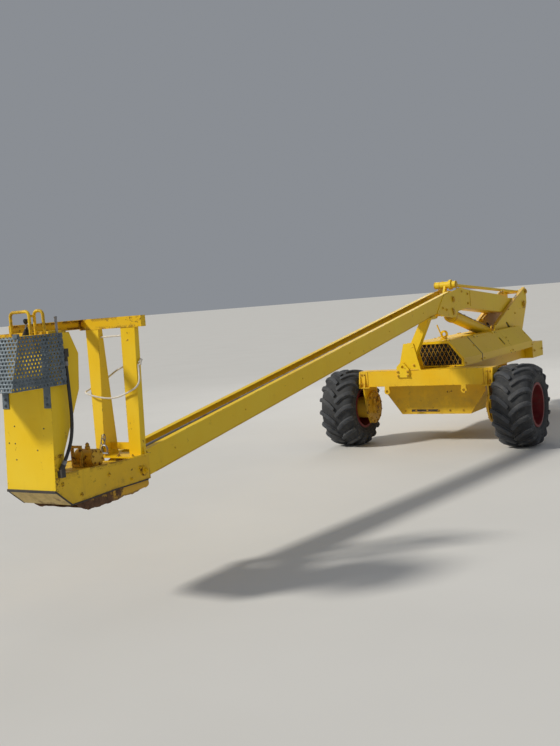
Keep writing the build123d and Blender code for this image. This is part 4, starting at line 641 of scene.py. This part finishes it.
def hand_guard():
    """Two side sheets and a front sheet that leans out, held by straps on the leg shield."""
    top, low, rear, front, flare, half = 1484.0, 1222.0, 5262.0, 5560.0, 75.0, 205.0
    inset = 1.6
    lean = Vector((flare, 0, low - top)).normalized()
    ends = [(at(0, 0, low), -Z), (at(0, 0, top), Z)]
    cuts = ends + [(at(rear, 0, 0), -X), (at(front, 0, top), Vector((-lean.z, 0, lean.x)))]
    sheets = [perforated(at(rear, side * (half - inset), low), X, Z, cuts, 0.385, 0.265, side) for side in (-1, 1)]
    cuts = ends + [(at(0, -half, 0), -Y), (at(0, half, 0), Y)]
    length = math.dist((front, top), (front + flare, low)) / 1000
    sheets.append(perforated(at(front + flare - inset, -half, low), Y, -lean, cuts, 0.41, length + 0.01, 5))
    joined = bmesh.new()
    mesh = bpy.data.meshes.new("guard_sheet")
    for bm in sheets:
        bm.to_mesh(mesh)
        bm.free()
        joined.from_mesh(mesh)
    bmesh.ops.remove_doubles(joined, verts=joined.verts, dist=1e-4)
    joined.to_mesh(mesh)
    joined.free()
    mesh.materials.append(M["guard"])
    obj = settle("guard_sheet", mesh, "platform", angle=30)
    thicken(obj, 0.0022)
    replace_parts(obj, "hand_guard")
    pile = Pile()

    def strap(y0, y1, z0, z1):
        pile.plate([(shield_face(z) + d, z) for z, d in ((z0, 0.4), (z0, 5), (z1, 5), (z1, 0.4))], y0, y1)

    for y in (-147.5, 147.5):
        strap(y - 22.5, y + 22.5, 1112, 1484)
        pile.bolts([(shield_face(z) + 5, y, z) for z in (1128, 1160, 1240, 1440)], X, 6)
    strap(-205, 205, 1222, 1262)
    for side in (-1, 1):
        pile.bolts([(5282, side * 205.5, z) for z in (1238, 1330, 1420, 1468)], Y * side, 5)
        pile.block((5264, side * 198 - 4.5, 1224), (5288, side * 198 + 4.5, 1482))
    pile.block((5548, 172, 1476), (5566, 202, 1496))
    pile.place("guard_straps", "guard", "platform", 0.6)


def platform_details():
    dark, worn, wire, nose, bar, valve = (Pile() for _ in range(6))
    for y in (-171, 171):
        dark.tube([(5382, y, 691), (5340, y, 655), (5276, y, 603)], 4.8, 8)
        dark.tube([(5276, y, 603), (5180, y, 604), (4960, y, 611), (4660, y, 611)], 4.2, 6)
    dark.plate([(5379, 683), (5386, 683), (5386, 696), (5380, 697)], -171, 171)
    for y, z in ((-96, 1022), (-140, 935), (-97, 933), (-92, 850), (60, 900), (110, 1010)):
        dark.lathe([(0, 4.5), (1.2, 4), (1.8, 1)], (shield_face(z), y, z), X, 10)
    dark.place("shield_edges", "dark", "platform")
    worn.bolts([(4752, y, 757.5) for y in (-150, -50, 50, 150)] + [(4632, y, 757.5) for y in (-150, 150)], Z, 8)
    worn.slab([(-150, 758), (-119, 758), (-119, 846), (-128, 846), (-150, 800)], 4690, 4696)
    worn.slab([(168, 758), (185, 758), (185, 764), (176, 800), (171, 800)], 4680, 4686)
    for side in (-1, 1):
        out, wall = Y * side, side * 170.5
        spots = ((4720, 690), (4800, 640), (4980, 700), (5200, 640), (5330, 720))
        worn.bolts([(x, side * 170.3, z) for x, z in spots], out, 7.5)
        worn.bolt((4690, side * 180, 668), out, 16)
        worn.lathe([(0, 32), (3, 31), (4, 26)], (4690, side * 170.2, 668), out, 28)
        worn.plate([(5300, 792), (5372, 792), (5368, 862), (5350, 874), (5312, 874)], wall - 1.5, wall + 2.5)
        worn.bolts([(x, side * 173, z) for x, z in ((5312, 800), (5358, 800), (5330, 862))], out, 6)
    for x in (5030, 5140, 5250):
        worn.block((x - 14, -160, 755), (x + 14, 160, 756.4))
    worn.place("platform_fittings", "yellow_worn", "platform", 0.6)
    shackle = ((-66, 768), (-74, 792), (-66, 812), (-52, 818), (-38, 812), (-30, 792), (-38, 768))
    wire.bend([(4750, y, z) for y, z in shackle], 4, 5.5, 8)
    wire.rod((4750, -78, 772), (4750, -26, 772), 6, 10)
    for wide, deep, y, z in ((0, 14, -58, 838), (10, 0, -47, 862)):
        link = [(4750 + wide * c, y + deep * c, z + 20 * s) for c, s in circle(12)]
        wire.tube(link + link[:1], 3.2, 6)
    wire.bend([(4752, -60, 880), (4749, -72, 845), (4751, -86, 800), (4753, -92, 764)], 6, 2.2, 6)
    wire.place("post_shackle", "steel", "platform")
    nose.plate([(5379, 689.5), (5381.5, 688), (5276.5, 600.6), (5274, 602.6)], -168, 168)
    nose.plate([(5274, 602), (5274, 600), (5100, 605), (5100, 607)], -168, 168)
    nose.place("nose_skin", "tan", "platform", 0.6)
    bar.rod((4680, -66, 1430), (4680, 106, 1433), 5, 12)
    bar.place("post_tie_bar", "rope", "platform")
    for y, side in ((10, -1), (134, 1)):
        profile = [(-3, 47), (2, 48), (4, 44), (4.5, 20)]
        valve.lathe(profile, (5020, y, 801), Y * side, 36)
    valve.bolt_ring((5020, 138.5, 801), 36, 6, 0.25, Y, 5.5, False)
    valve.rod((5020, 72, 845), (5020, 72, 862), 14, 16, chamfer=2)
    valve.bolt((5020, 72, 862), Z, 12, False)
    valve.bolts([(x, y, 755.5) for y in (30, 118) for x in (4990, 5050)], Z, 7)
    valve.place("valve_fittings", "yellow_dirty", "platform", 0.6)


def skid():
    """Bent and torn guard plates under the platform."""
    bm = bmesh.new()

    def wave(*place):
        return noise.noise(Vector(place))

    def sheet(rows):
        grid = [[bm.verts.new(p) for p in row] for row in rows]
        for a, b in zip(grid, grid[1:]):
            for j in range(len(a) - 1):
                bm.faces.new((a[j], b[j], b[j + 1], a[j + 1]))

    top, drop, least, rear, front = 612.0, 62.0, 6.0, 4650.0, 5265.0
    for side in (-1, 1):
        rows = []
        for k in (i / 90 for i in range(91)):
            x = rear + (front - rear) * k
            depth = drop * min(1.0, 0.72 + 0.5 * k) * min(1.0, (1 - k) / 0.20 + 0.10) * min(1.0, 0.75 + k / 0.08)
            depth = max(least, depth + 7.0 * wave(x * 0.021, side * 3.0, 0.5) + 4.5 * wave(x * 0.07, side, 4.0))
            row = []
            for s in (j / 8 for j in range(9)):
                bent = 8.0 * wave(x * 0.008, s * 1.3, side * 2.0) + 4.0 * wave(x * 0.03, s * 3.0, side * 5.0)
                row.append(at(x, side * (161.0 + bent * s), top - depth * s))
            rows.append(row)
        sheet(rows)
    sheet([[at(x, y, 552.0 + 5.0 * wave(x * 0.02, y * 0.02, 9.0)) for x in (4910.0 + 5.5 * i for i in range(41))]
           for y in (-160.0 + 320.0 * j / 24 for j in range(25))])
    mesh = bpy.data.meshes.new("skid_plates")
    bm.to_mesh(mesh)
    bm.free()
    mesh.materials.append(M["skid"])
    obj = settle("skid_plates", mesh, "platform", angle=50)
    thicken(obj, 0.005)
    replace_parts(obj, "platform_skid")


def levers():
    """Two kinds of turned shape on each lever, a boot of five folds and a knob; and a plain stalk."""
    boots, steel = Pile(), Pile()
    boot = [(0, 24), (4, 24)]
    for i in range(5):
        boot += [(6 + 6 * i, 21 - 3.2 * i), (9 + 6 * i, 22.5 - 3.2 * i)]
    boot += [(36, 8), (40, 6.5)]
    knob = [(56, 4), (60, 8.5), (66, 11.8), (72, 13), (79, 11.5), (83, 6), (83.5, 1)]
    for x, y in ((5362, 60), (5440, -188), (5500, -188)):
        foot = Vector((x, y, 1484))
        boots.lathe(boot, foot, Z, 24)
        boots.lathe(knob, foot, Z, 24)
        steel.rod(foot + Z * 30, foot + Z * 60, 4.8, 12)
    stalk = Vector((5290, 194.95, 1454))
    steel.rod(stalk, stalk + Z * 108, 6.5, 14, chamfer=1)
    steel.lathe([(104, 6.8), (106, 8.2), (112, 8.2), (114, 6)], stalk, Z, 16)
    boots.place("lever_boots", "plastic", "platform")
    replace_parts(steel.place("lever_rods", "steel", "platform"), "control_levers")


def keeper(pile, x, z, y, side, radius):
    """Pin head with a washer and a keeper plate held by one bolt."""
    out, face = Y * side, Vector((x, side * y, z))
    pile.lathe([(0, radius * 1.45), (3, radius * 1.4), (4, radius)], face, out, 32)
    pile.lathe([(3, radius * 0.95), (11, radius * 0.95), (13, radius * 0.8), (13, radius * 0.2), (10, radius * 0.1)],
               face, out, 32)
    u, v = Vector((0.75, 0, 0.66)), Vector((-0.66, 0, 0.75))
    tab = ((0.6, -11), (2.4, -11), (2.4, 11), (0.6, 11))
    pile.rings([[face + u * radius * a + v * b + out * d for a, b in tab] for d in (4, 9)])
    pile.bolt(face + u * radius * 1.95 + out * 9, out, 7)


def boom_top(x):
    """Height of the front boom's top edge."""
    return 1449 - 0.150 * x


def boom_details():
    pile, line = Pile(), Pile()
    for side in (-1, 1):
        out = Y * side
        keeper(pile, -510, 1424, 111.8, side, 20)
        keeper(pile, -500, 1298, 107.8, side, 24)
        spots = ((-930, 1370), (-930, 1470), (-760, 1500), (-300, 1330), (-200, 1352))
        pile.bolts([(x, side * 107.7, z) for x, z in spots], out, 10)
        for x in (300, 1100, 1900, 2700, 3500, 4300):
            pile.lathe([(0, 6), (3, 5.5), (5, 3)], (x, side * 101.6, boom_top(x) - 76), out, 12)
        pile.tube([(x, side * 101.9, boom_top(x) - 150.5) for x in range(-60, 4600, 120)], 2.8, 6)
        pile.tube([(-1012, side * 108, z) for z in (1337, 1420, 1498)], 4, 6)
        pile.bolt((4690, side * 101.8, 668), out, 14)
    guide = ((-2025, 1398), (-2034, 1424), (-2060, 1440), (-2120, 1454), (-2172, 1466), (-2188, 1452), (-2186, 1425))
    pile.bend([(x, 92, z) for x, z in guide], 4, 8.5, 10)
    pile.block((-2050, 82, 1399), (-2006, 101, 1414))
    pile.place("boom_fittings", "yellow_dark", "boom", 0.6)
    for y in (-78, -58, 62, 80):
        line.tube([(x, y, boom_top(x) - 138) for x in range(-380, 4501, 160)], 5.5, 8)
    for x in range(-300, 4401, 940):
        z = boom_top(x) - 146
        for y0, y1 in ((-90, -48), (52, 92)):
            line.block((x - 9, y0, z), (x + 9, y1, z + 17))
    line.place("boom_pipes", "steel", "boom", 0.5)


# Front edge of the mast's plates, which carries a flat bar on each: x, z
MAST_EDGE = [Vector(p) for p in ((-1725, 1085), (-2090, 1215), (-2430, 1330), (-2895, 1477))]
# Slot in the mast's plates, round its middle at x -2235, z 1040; dark plates of its outline inside the mast are
# painted shade
MAST_SLOT = ((-95, -55), (-95, -35), (50, 55), (95, 55), (95, 40), (-55, -55))


def mast_details():
    pile, shade_plates = Pile(), Pile()
    pile.plate([(-1950, 1122), (-2150, 1195), (-2150, 1222), (-1944, 1160)], -111.5, -86)
    for side in (-1, 1):
        out = Y * side
        for x, z, radius in ((-2880, 1270, 30), (-2970, 1425.9, 21), (-2100, 937, 26)):
            keeper(pile, x, z, 134.5, side, radius)
        pile.bolts([(x, side * 124.4, 800) for x in (-2420, -2300, -2160, -2020, -1880, -1760)], out, 11.5)
        spots = ((-2640, 900), (-2560, 860), (-2500, 1180), (-2250, 1240))
        pile.bolts([(x, side * 124.4, z) for x, z in spots], out, 9)
        for p, q in zip(MAST_EDGE, MAST_EDGE[1:]):
            up = Vector((q.y - p.y, p.x - q.x)).normalized() * 9
            pile.plate([p - up * 0.1, q - up * 0.1, q + up, p + up], *sorted((side * 110.5, side * 148)))
        # Dark plate of the slot's outline on the inner face of each mast plate: painted shade seen through the slot
        shade_plates.plate([(-2235 + 1.15 * a, 1040 + 1.15 * b) for a, b in MAST_SLOT], side * 108.0, side * 111.8)
    pile.place("mast_fittings", "yellow_dark", "chassis", 0.6)
    shade_plates.place("mast_slot_shade_plates", "dark", "chassis")


def cylinder_details():
    foot, eye = Vector((-2100, 0, 937)), Vector((-500, 0, 1298))
    d = (eye - foot).normalized()
    up = Vector((-d.z, 0, d.x))

    def on(along, height=0):
        return foot + d * along + up * height

    pile, pipe, rings = Pile(), Pile(), Pile()
    pile.lathe([(0, 65.5), (4, 69.5), (50, 69.5), (56, 66), (62, 50), (64, 31)], on(1408), d, 48)
    for c, s in circle(6):
        radial = up * c + Y * s
        pile.lathe([(0, 6), (1.5, 6), (2, 4.5)], on(1434) + radial * 68.5, radial, 10)
    pile.lathe([(0, 62), (3, 66), (11, 66), (14, 62)], on(112), d, 48)
    for along in (150, 1360):
        pile.rod(on(along, 60), on(along, 86), 15, 18, chamfer=2)
        pile.bolt(on(along, 82), up, 13, False)
    pile.place("cylinder_fittings", "yellow_dark", "lift_barrel", 0.6)
    path = ((1360, 100), (1345, 106), (1315, 94), (1280, 78), (1150, 72.5), (900, 72.5), (650, 72.5), (420, 72.5),
            (300, 72.5), (265, 82), (235, 86))
    pipe.bend([on(*p) for p in path], 3, 6, 8)
    for along in (1050, 720, 420):
        p, reach = on(along, 60), Vector((10, 12, 0))
        pipe.block(p - reach, p + reach + Z * 20)
    pipe.place("cylinder_pipe", "steel", "lift_barrel", 0.4)
    for side in (-1, 1):
        rings.lathe([(0, 37), (3, 36), (4, 30)], eye + Y * side * 28, Y * side, 32)
    rings.place("rod_eye_rings", "steel", "lift_rod")


def lever_details():
    pile, rod = Pile(), Pile()
    top = Vector((-600, 0, 1579.9))
    for side in (-1, 1):
        out = Y * side
        pile.lathe([(0, 39), (3, 38.5), (4, 30), (9, 29), (9.5, 10)], top + out * 112, out, 32)
        pile.lathe([(-4, 37.5), (4, 37.5)], top + out * 60, out, 32)
    pile.bolt(top + Vector((0, -30, 34)), Z, 6)
    pile.place("lever_fittings", "yellow_dark", "level_lever", 0.5)
    start, end = Vector((-2970, 54, 1425.9)), Vector((-600, 54, 1579.9))
    d = (end - start).normalized()
    for along in (75, 2260):
        rod.lathe([(0, 16.5), (3, 21), (28, 21), (31, 16.5)], start + d * along, d, 6)
    rod.place("rod_nuts", "bolt", "rear_level_rod", 0.6)


# Sections across the hood, on its left side: seal under the doors' ends, rubber lip, strip on a door's top edge
SEAL = ((186, 1023), (190.5, 1023.5), (333.5, 851.5), (333.5, 772), (331, 772), (331, 850))
LIP = ((189, 1029), (190.8, 1031.4), (342, 850.6), (342, 776), (339, 776), (339, 850))
STRIP = ((192.6, 1025.2), (206.5, 1010.2), (208.2, 1012.0), (194.4, 1027.6))
# Rim of a door's handle: rear, top, front and low end, ahead of and below its middle
HANDLE_RIM = ((-24, -58, 24, -50), (-24, 50, 24, 58), (-24, -50, -16, 50), (16, -50, 24, 50))


def hood_details():
    pile, seals = Pile(), Pile()
    slope = math.atan2(180, 150)
    for side in (-1, 1):
        away = Vector((0, side * math.sin(slope), math.cos(slope)))
        pile.bolts([(x, side * 265, 940) for x in (-590, -1660, -2380)], away, 7.5)
        pile.bolts([(x, side * 340.5, 800) for x in (-120, -590, -1650, -2390)], Y * side, 7.5)
        pile.bolts([(x, side * 150, 1030.3) for x in (-130, -580)], Z, 7)
    pile.bolts([(x, y, 1030.3) for x in (-160, -1700, -2300) for y in (-172, 172)], Z, 6)
    pile.rod((-416, 4, 1034), (-416, 4, 1054), 9, 12, chamfer=1)
    pile.bolts([(-492, 0, 1040.2), (-420, 10, 1040.2)], Z, 8)
    pile.bolts([(-79.8, y, 781) for y in (-240, -80, 80, 240)], X, 6)
    hook = ((-360, 1029), (-360, 1050), (-372, 1062), (-388, 1058), (-392, 1044))
    pile.bend([(x, 40, z) for x, z in hook], 4, 5, 8)
    pile.block((-372, 30, 1030), (-348, 50, 1034))
    pile.place("hood_bolts", "yellow_dark", "chassis", 0.5)
    for section, x0, x1 in ((SEAL, -641.5, -613.5), (SEAL, -1631.5, -1603.5), (LIP, -629, -614)):
        for side in (-1, 1):
            seals.slab([(side * y, z) for y, z in section], x0, x1)
    seals.place("hood_seals", "plastic", "chassis")
    for side, hand in SIDES:
        door = Pile()
        away = Vector((0, side * math.sin(slope), math.cos(slope)))
        down = Vector((0, side * math.cos(slope), -math.sin(slope)))
        middle = Vector((-1449, side * 283, 918.4))

        def pad(corners, low, high, mark=0):
            door.rings([[middle + X * p + down * q + away * h for p, q in corners] for h in (low, high)], mark)

        for rear, top, front, low in HANDLE_RIM:
            pad(((rear, top), (front, top), (front, low), (rear, low)), -1, 4)
        pad(((-16, -50), (16, -50), (16, 50), (-16, 50)), 0.2, 0.8, 1)
        pad(((-6, -40), (6, -40), (5, 20), (-5, 20)), 0.8, 6, 1)
        door.bolts([(x, side * 340.3, 800) for x in (-1562, -682)], Y * side, 6)
        for x0, x1 in ((-772, -631), (-1357, -888), (-1614, -1473)):
            door.slab([(side * y, z) for y, z in STRIP], x0, x1)
        door.place("door_handle_" + hand, "yellow dark", "engine_door_" + hand, 0.5)


def radiator():
    """Dark cooler core behind the grille, with its fins and bars."""
    pile = Pile()
    pile.slab([(-300, 780), (-300, 855), (-175, 1008), (175, 1008), (300, 855), (300, 780)], -150, -116)
    for i in range(60):
        y = -292 + 584 * i / 59
        top = 1002 - max(0, abs(y) - 175) * 1.2
        pile.slab([(y - 1.2, 786), (y + 1.2, 786), (y + 1.2, top), (y - 1.2, top)], -116, -104)
    for z in range(805, 998, 24):
        half = 290 - max(0, z - 855) / 1.2
        pile.slab([(-half, z), (half, z), (half, z + 4), (-half, z + 4)], -108, -102)
    pile.place("radiator_core", "iron", "chassis")


# Engine's rocker cover from ahead, and its belt's wheels: y, z and radius
ROCKER_COVER = ((-88, 931), (88, 931), (88, 940), (70, 944), (60, 984), (-60, 984), (-70, 944), (-88, 940))
BELT_WHEELS = ((0, 815, 50), (0, 905, 36), (244, 862, 26))


def engine_details():
    """What shows round the plain engine block when a door is open, with x counted from the row's origin."""
    iron, grey, soot, black = range(4)
    pile = Pile()
    # Fins on the block's sides, rocker cover with its ribs and bolts
    for side in (-1, 1):
        for z in (792 + 22 * i for i in range(6)):
            pile.block((-2765, side * 198, z), (-2100, side * 214, z + 7), iron)
    pile.rings([[(x, y, z) for y, z in ROCKER_COVER] for x in (-2660, -2200)], grey)
    for y in (-40 + 20 * i for i in range(5)):
        pile.block((-2620, y - 3, 983), (-2300, y + 3, 989), grey)
    for x in (-2630, -2500, -2360, -2230):
        for side in (-1, 1):
            pile.bolt((x, side * 79, 942), Z, 6, mark=grey)
    # Filler cap, air filter and its elbow, silencer with its tail
    pile.lathe([(0, 20), (12, 20), (14, 26), (28, 26), (30, 22)], (-2250, 0, 982), Z, 20, black)
    pile.lathe([(0, 30), (6, 40), (20, 43), (200, 43), (214, 40), (220, 30)], (-2735, -110, 972), Y, 28,
               black)
    elbow = [(-2735, 105, 972), (-2735, 150, 966), (-2700, 168, 945), (-2660, 170, 920)]
    pile.tube(spline(elbow, 5), 17, 12, black)
    pile.lathe([(0, 18), (6, 34), (14, 40), (440, 40), (448, 34), (454, 15), (520, 15)],
               (-2700, -258, 832), X, 28, soot)
    # Four exhaust pipes and spark leads
    for i in range(4):
        x = -2600 + 110 * i
        pile.block((x - 22, -206, 874), (x + 22, -197, 918), soot)
        pipe = [(x, -200, 896), (x, -232, 895), (x, -256, 880), (x, -258, 855)]
        pile.tube(spline(pipe, 4), 14, 12, soot)
        lead = [(x + 30, 62, 955), (x + 35, 100, 974), (-2230, 132 + 6 * i, 966 + 5 * i),
                (-2165 + 12 * i, 150, 985 - 4 * i), (-2160 + 12 * i, 150, 962)]
        pile.tube(spline(lead, 6), 3.8, 8, black)
    # Distributor, oil filter, starter with its relay, dynamo
    pile.lathe([(0, 30), (22, 30), (26, 36), (36, 34)], (-2142, 150, 930), Z, 20, iron)
    pile.lathe([(0, 30), (10, 37), (72, 37), (80, 28)], (-2490, 205, 836), Y, 24, grey)
    pile.lathe([(0, 26), (10, 38), (170, 38), (180, 26)], (-2775, 248, 826), X, 24, iron)
    pile.rod((-2760, 232, 878), (-2650, 232, 878), 18, 16, iron, 2)
    pile.lathe([(0, 30), (12, 44), (80, 44), (92, 30)], (-2185, 244, 862), X, 28, grey)
    for y, z, r in BELT_WHEELS:
        profile = [(-60, 12), (-13, 12), (-12, r + 4), (-8, r + 4), (-6, r - 4)]
        profile += [(-along, radius) for along, radius in profile[:0:-1]] + [(20, 10)]
        pile.lathe(profile, (-2050, y, z), X, 28, iron)
    belt = []
    for c, s in circle(60):
        y, z = max(((y + r * c, z + r * s) for y, z, r in BELT_WHEELS), key=lambda p: p[0] * c + p[1] * s)
        section = ((-6, -3), (6, -3), (6, 4), (-6, 4))
        belt.append([(-2050 + along, y + c * h, z + s * h) for along, h in section])
    pile.rings(belt, black, closed=True)
    # Fan of six twisted blades
    hub = Vector((-2018, 0, 905))
    pile.rod(hub - X * 30, hub + X * 8, 22, 20, iron, 2)
    for c, s in circle(6):
        out, across = Vector((0, c, s)), Vector((0, -s, c))
        rings = []
        for r, half, twist in ((18, 14, 10), (60, 26, 12), (100, 30, 9)):
            edge = ((-half, -twist), (half, twist), (half, twist + 2), (-half, -twist + 2))
            rings.append([hub + out * r + across * a + X * b for a, b in edge])
        pile.rings(rings, grey)
    # Bell housing, hydraulic pump and its hoses
    pile.lathe([(0, 135), (10, 135), (22, 100), (34, 80)], (-2790, 0, 850), -X, 32, iron)
    pile.block((-2895, -45, 805), (-2820, 45, 895), grey)
    for side in (-1, 1):
        path = ((-2860, 40, 865), (-2862, 85, 872), (-2850, 150, 860), (-2835, 195, 825), (-2830, 205, 788))
        path = [(x, side * y, z) for x, y, z in path]
        pile.tube(spline(path, 6), 11, 12, black)
        pile.rod(path[0], path[1], 14, 12, grey, 1)
    for v in pile.verts:
        v.x -= AXLE_X * 1000
    pile.place("engine_fittings", "iron bolt dark hose", "chassis", 0.8)


def beam_details():
    pile, pan = Pile(), Pile()
    for side in (-1, 1):
        pile.bolts([(156.3, side * y, z) for y in (640, 672) for z in (650, 740)], X, 9)
        pile.tube([(157, side * 605, z) for z in (618, 700, 770)], 4, 6)
        pile.bolts([(x, side * 640, 604.5) for x in (-90, 90, 150)], -Z, 10)
    pile.bolts([(172.4, y, z) for y in (-262, -158) for z in (722, 760)], X, 10)
    pile.tube([(158, y, 775) for y in (-220, -140, -50)], 4, 6)
    pile.bolts([(156.4, y, 820) for y in (-186, -94)], X, 10)
    pile.bolt((120, -20, 1278), -Y, 8)
    pile.bolt((120, 110, 1278), Y, 8)
    pile.place("beam_fittings", "yellow_dark", "chassis", 0.6)
    pan.bolts([(-99.6, y, 335) for y in (-330, -210, -90, 30, 150, 290)], X, 7.5)
    for side in (-1, 1):
        pan.bolts([(x, side * 530.3, 600) for x in (-160, -420, -690, -960, -1220)], Y * side, 7.5)
    for x in (-260, -640, -1020):
        pan.lathe([(0, 30), (4, 30), (6, 24)], (x, 0, 300), -Z, 24)
        pan.bolt((x, 0, 294.5), -Z, 12, False)
    pan.slab([(-262, 330), (22, 330), (20, 346), (-260, 346)], -100, -97.5, 1)
    pan.place("pan_bolts", "yellow_dark dark", "chassis", 0.5)


def pan_contents():
    """Oil tank and valve block down in the belly pan."""
    tank, block = Pile(), Pile()
    tank.slab([(-340, 308), (340, 308), (385, 365), (400, 400), (400, 515), (375, 540), (-375, 540), (-400, 515),
               (-400, 400), (-385, 365)], -1240, -700)
    tank.block((-960, -150, 539), (-760, 150, 546))
    tank.bolts([(x, y, 546) for x in (-940, -780) for y in (-130, 0, 130)], Z, 9)
    tank.lathe([(0, 45), (22, 45), (25, 40), (26, 20)], (-1120, 250, 540), Z, 28)
    for side in (-1, 1):
        tank.bolts([(x, side * 400, 470) for x in (-1150, -1000, -850)], Y * side, 8)
    tank.place("oil_tank", "yellow_dark", "chassis", 4)
    block.block((-560, -150, 306), (-430, 150, 400))
    for k in range(5):
        y = -120 + 60 * k
        block.rod((-428, y, 360), (-392, y, 360), 17, 16, chamfer=3)
        block.rod((-562, y, 360), (-590, y, 360), 14, 16, chamfer=3)
        block.bolt((-495, y, 400), Z, 13, False)
        block.bend([(-495, y, 405), (-495, y, 450), (-500 - 8 * k, y, 500), (-540 - 12 * k, y * 0.8, 560),
                    (-560 - 12 * k, y * 0.7, 640)], 4, 8, 8)
        block.bend([(-590, y, 360), (-630, y, 362), (-660, y, 380), (-702, y, 400)], 4, 7, 8)
    block.lathe([(0, 60), (110, 60), (125, 50), (130, 20)], (-300, 120, 306), Z, 32)
    block.lathe([(128, 24), (150, 24), (155, 18)], (-300, 120, 306), Z, 20)
    block.place("valve_block", "iron", "chassis", 1.5)


def weight_details():
    """Bolts and two lifting eyes on the rear weight."""
    pile = Pile()
    for side in (-1, 1):
        pile.bolts([(-2876.4, side * y, z) for y, z in ((270, 670), (270, 780), (90, 780))], -X, 14)
        pile.tube([(-2660 + 34 * c, side * 240, 812 + 40 * s) for c, s in circle(32)[:17]], 7, 10)
        pile.bolts([(x, side * 330.4, 720) for x in (-2500, -2820)], Y * side, 12)
    pile.place("weight_fittings", "yellow_dark", "chassis", 0.8)


def castor():
    """Ribbed tyre, wheel nuts and the fork's axle ends."""
    tyre, nuts, fork = Pile(), Pile(), Pile()
    centre = Vector((-2410, 0, 250))
    half = spline(((0, 249), (30, 248.5), (55, 244), (75, 232), (89, 210), (94, 185), (90, 162), (80, 148),
                   (72.8, 138), (72.8, 127.5)), 3)
    grooves, groove_half, groove_depth = (16, 44), 5.5, 6
    half = [(a, r - groove_depth * any(abs(a - g) < groove_half for g in grooves)) for a, r in half]
    tyre.hoop([(-a, r) for a, r in half[::-1]] + half[1:], centre, 96)
    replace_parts(tyre.place("castor_rubber", "rubber", "castor_wheel", angle=40), "castor_tyre")
    for side in (-1, 1):
        nuts.bolt_ring(centre + Y * side * 8, 62, 5, 0.0, Y * side, 9)
        fork.bolt(centre + Y * side * 140, Y * side, 20)
    nuts.place("castor_nuts", "bolt", "castor_wheel", 0.6)
    fork.lathe([(0, 30), (4, 30), (8, 20), (16, 6)], (-2300, 0, 783), Z, 24)
    fork.place("castor_fittings", "bolt", "castor_fork", 0.6)


def lamp(name, kind, place, target, size, power, color):
    """Light that looks at a target; size is a sun's angle in degrees or a disk's width."""
    data = bpy.data.lights.new(name, kind)
    if kind == "SUN":
        data.angle = math.radians(size)
    else:
        data.shape = "DISK"
        data.size = size
    data.energy = power
    data.color = color
    obj = bpy.data.objects.new(name, data)
    scene.collection.objects.link(obj)
    obj.location = place
    obj.rotation_mode = "QUATERNION"
    obj.rotation_quaternion = (Vector(target) - Vector(place)).to_track_quat("-Z", "Y")


def studio():
    """Pale floor, soft sky and three lights."""
    far, sky, sky_strength = 400, (0.82, 0.87, 0.95, 1.0), 0.31
    mesh = bpy.data.meshes.new("floor")
    mesh.from_pydata([(-far, -far, 0), (far, -far, 0), (far, far, 0), (-far, far, 0)], [], [(0, 1, 2, 3)])
    floor = bpy.data.objects.new("floor", mesh)
    scene.collection.objects.link(floor)
    g = Graph("floor_pale")
    mesh.materials.append(g.finish(g.mix(g.noise(0.8, 3.0, 0.5), (0.62, 0.61, 0.59), (0.68, 0.67, 0.65)), 0.9))
    scene.world = bpy.data.worlds.new("studio")
    scene.world.use_nodes = True
    back = scene.world.node_tree.nodes["Background"]
    back.inputs[0].default_value = sky
    back.inputs[1].default_value = sky_strength
    lamp("key", "SUN", (9.0, -8.5, 10.0), (0.5, 0.0, 0.8), 7.0, 2.85, (1.0, 0.96, 0.87))
    lamp("fill", "AREA", (6.0, 9.0, 6.0), (0.5, 0.0, 0.8), 6.0, 36, (0.95, 0.97, 1.0))
    lamp("rim", "AREA", (-8.0, -3.0, 6.0), (-1.0, 0.0, 0.8), 4.0, 110, (1.0, 0.98, 0.95))


photo_camera()
control_hose()
post_rope()
for part in (drive_tyre, wheel_fittings):
    for side, hand in SIDES:
        part(side, hand)
for part in (hand_guard, platform_details, skid, levers, boom_details, mast_details, cylinder_details, lever_details,
             hood_details, radiator, engine_details, beam_details, pan_contents, weight_details, castor, studio):
    part()
scene.view_settings.view_transform = "Standard"
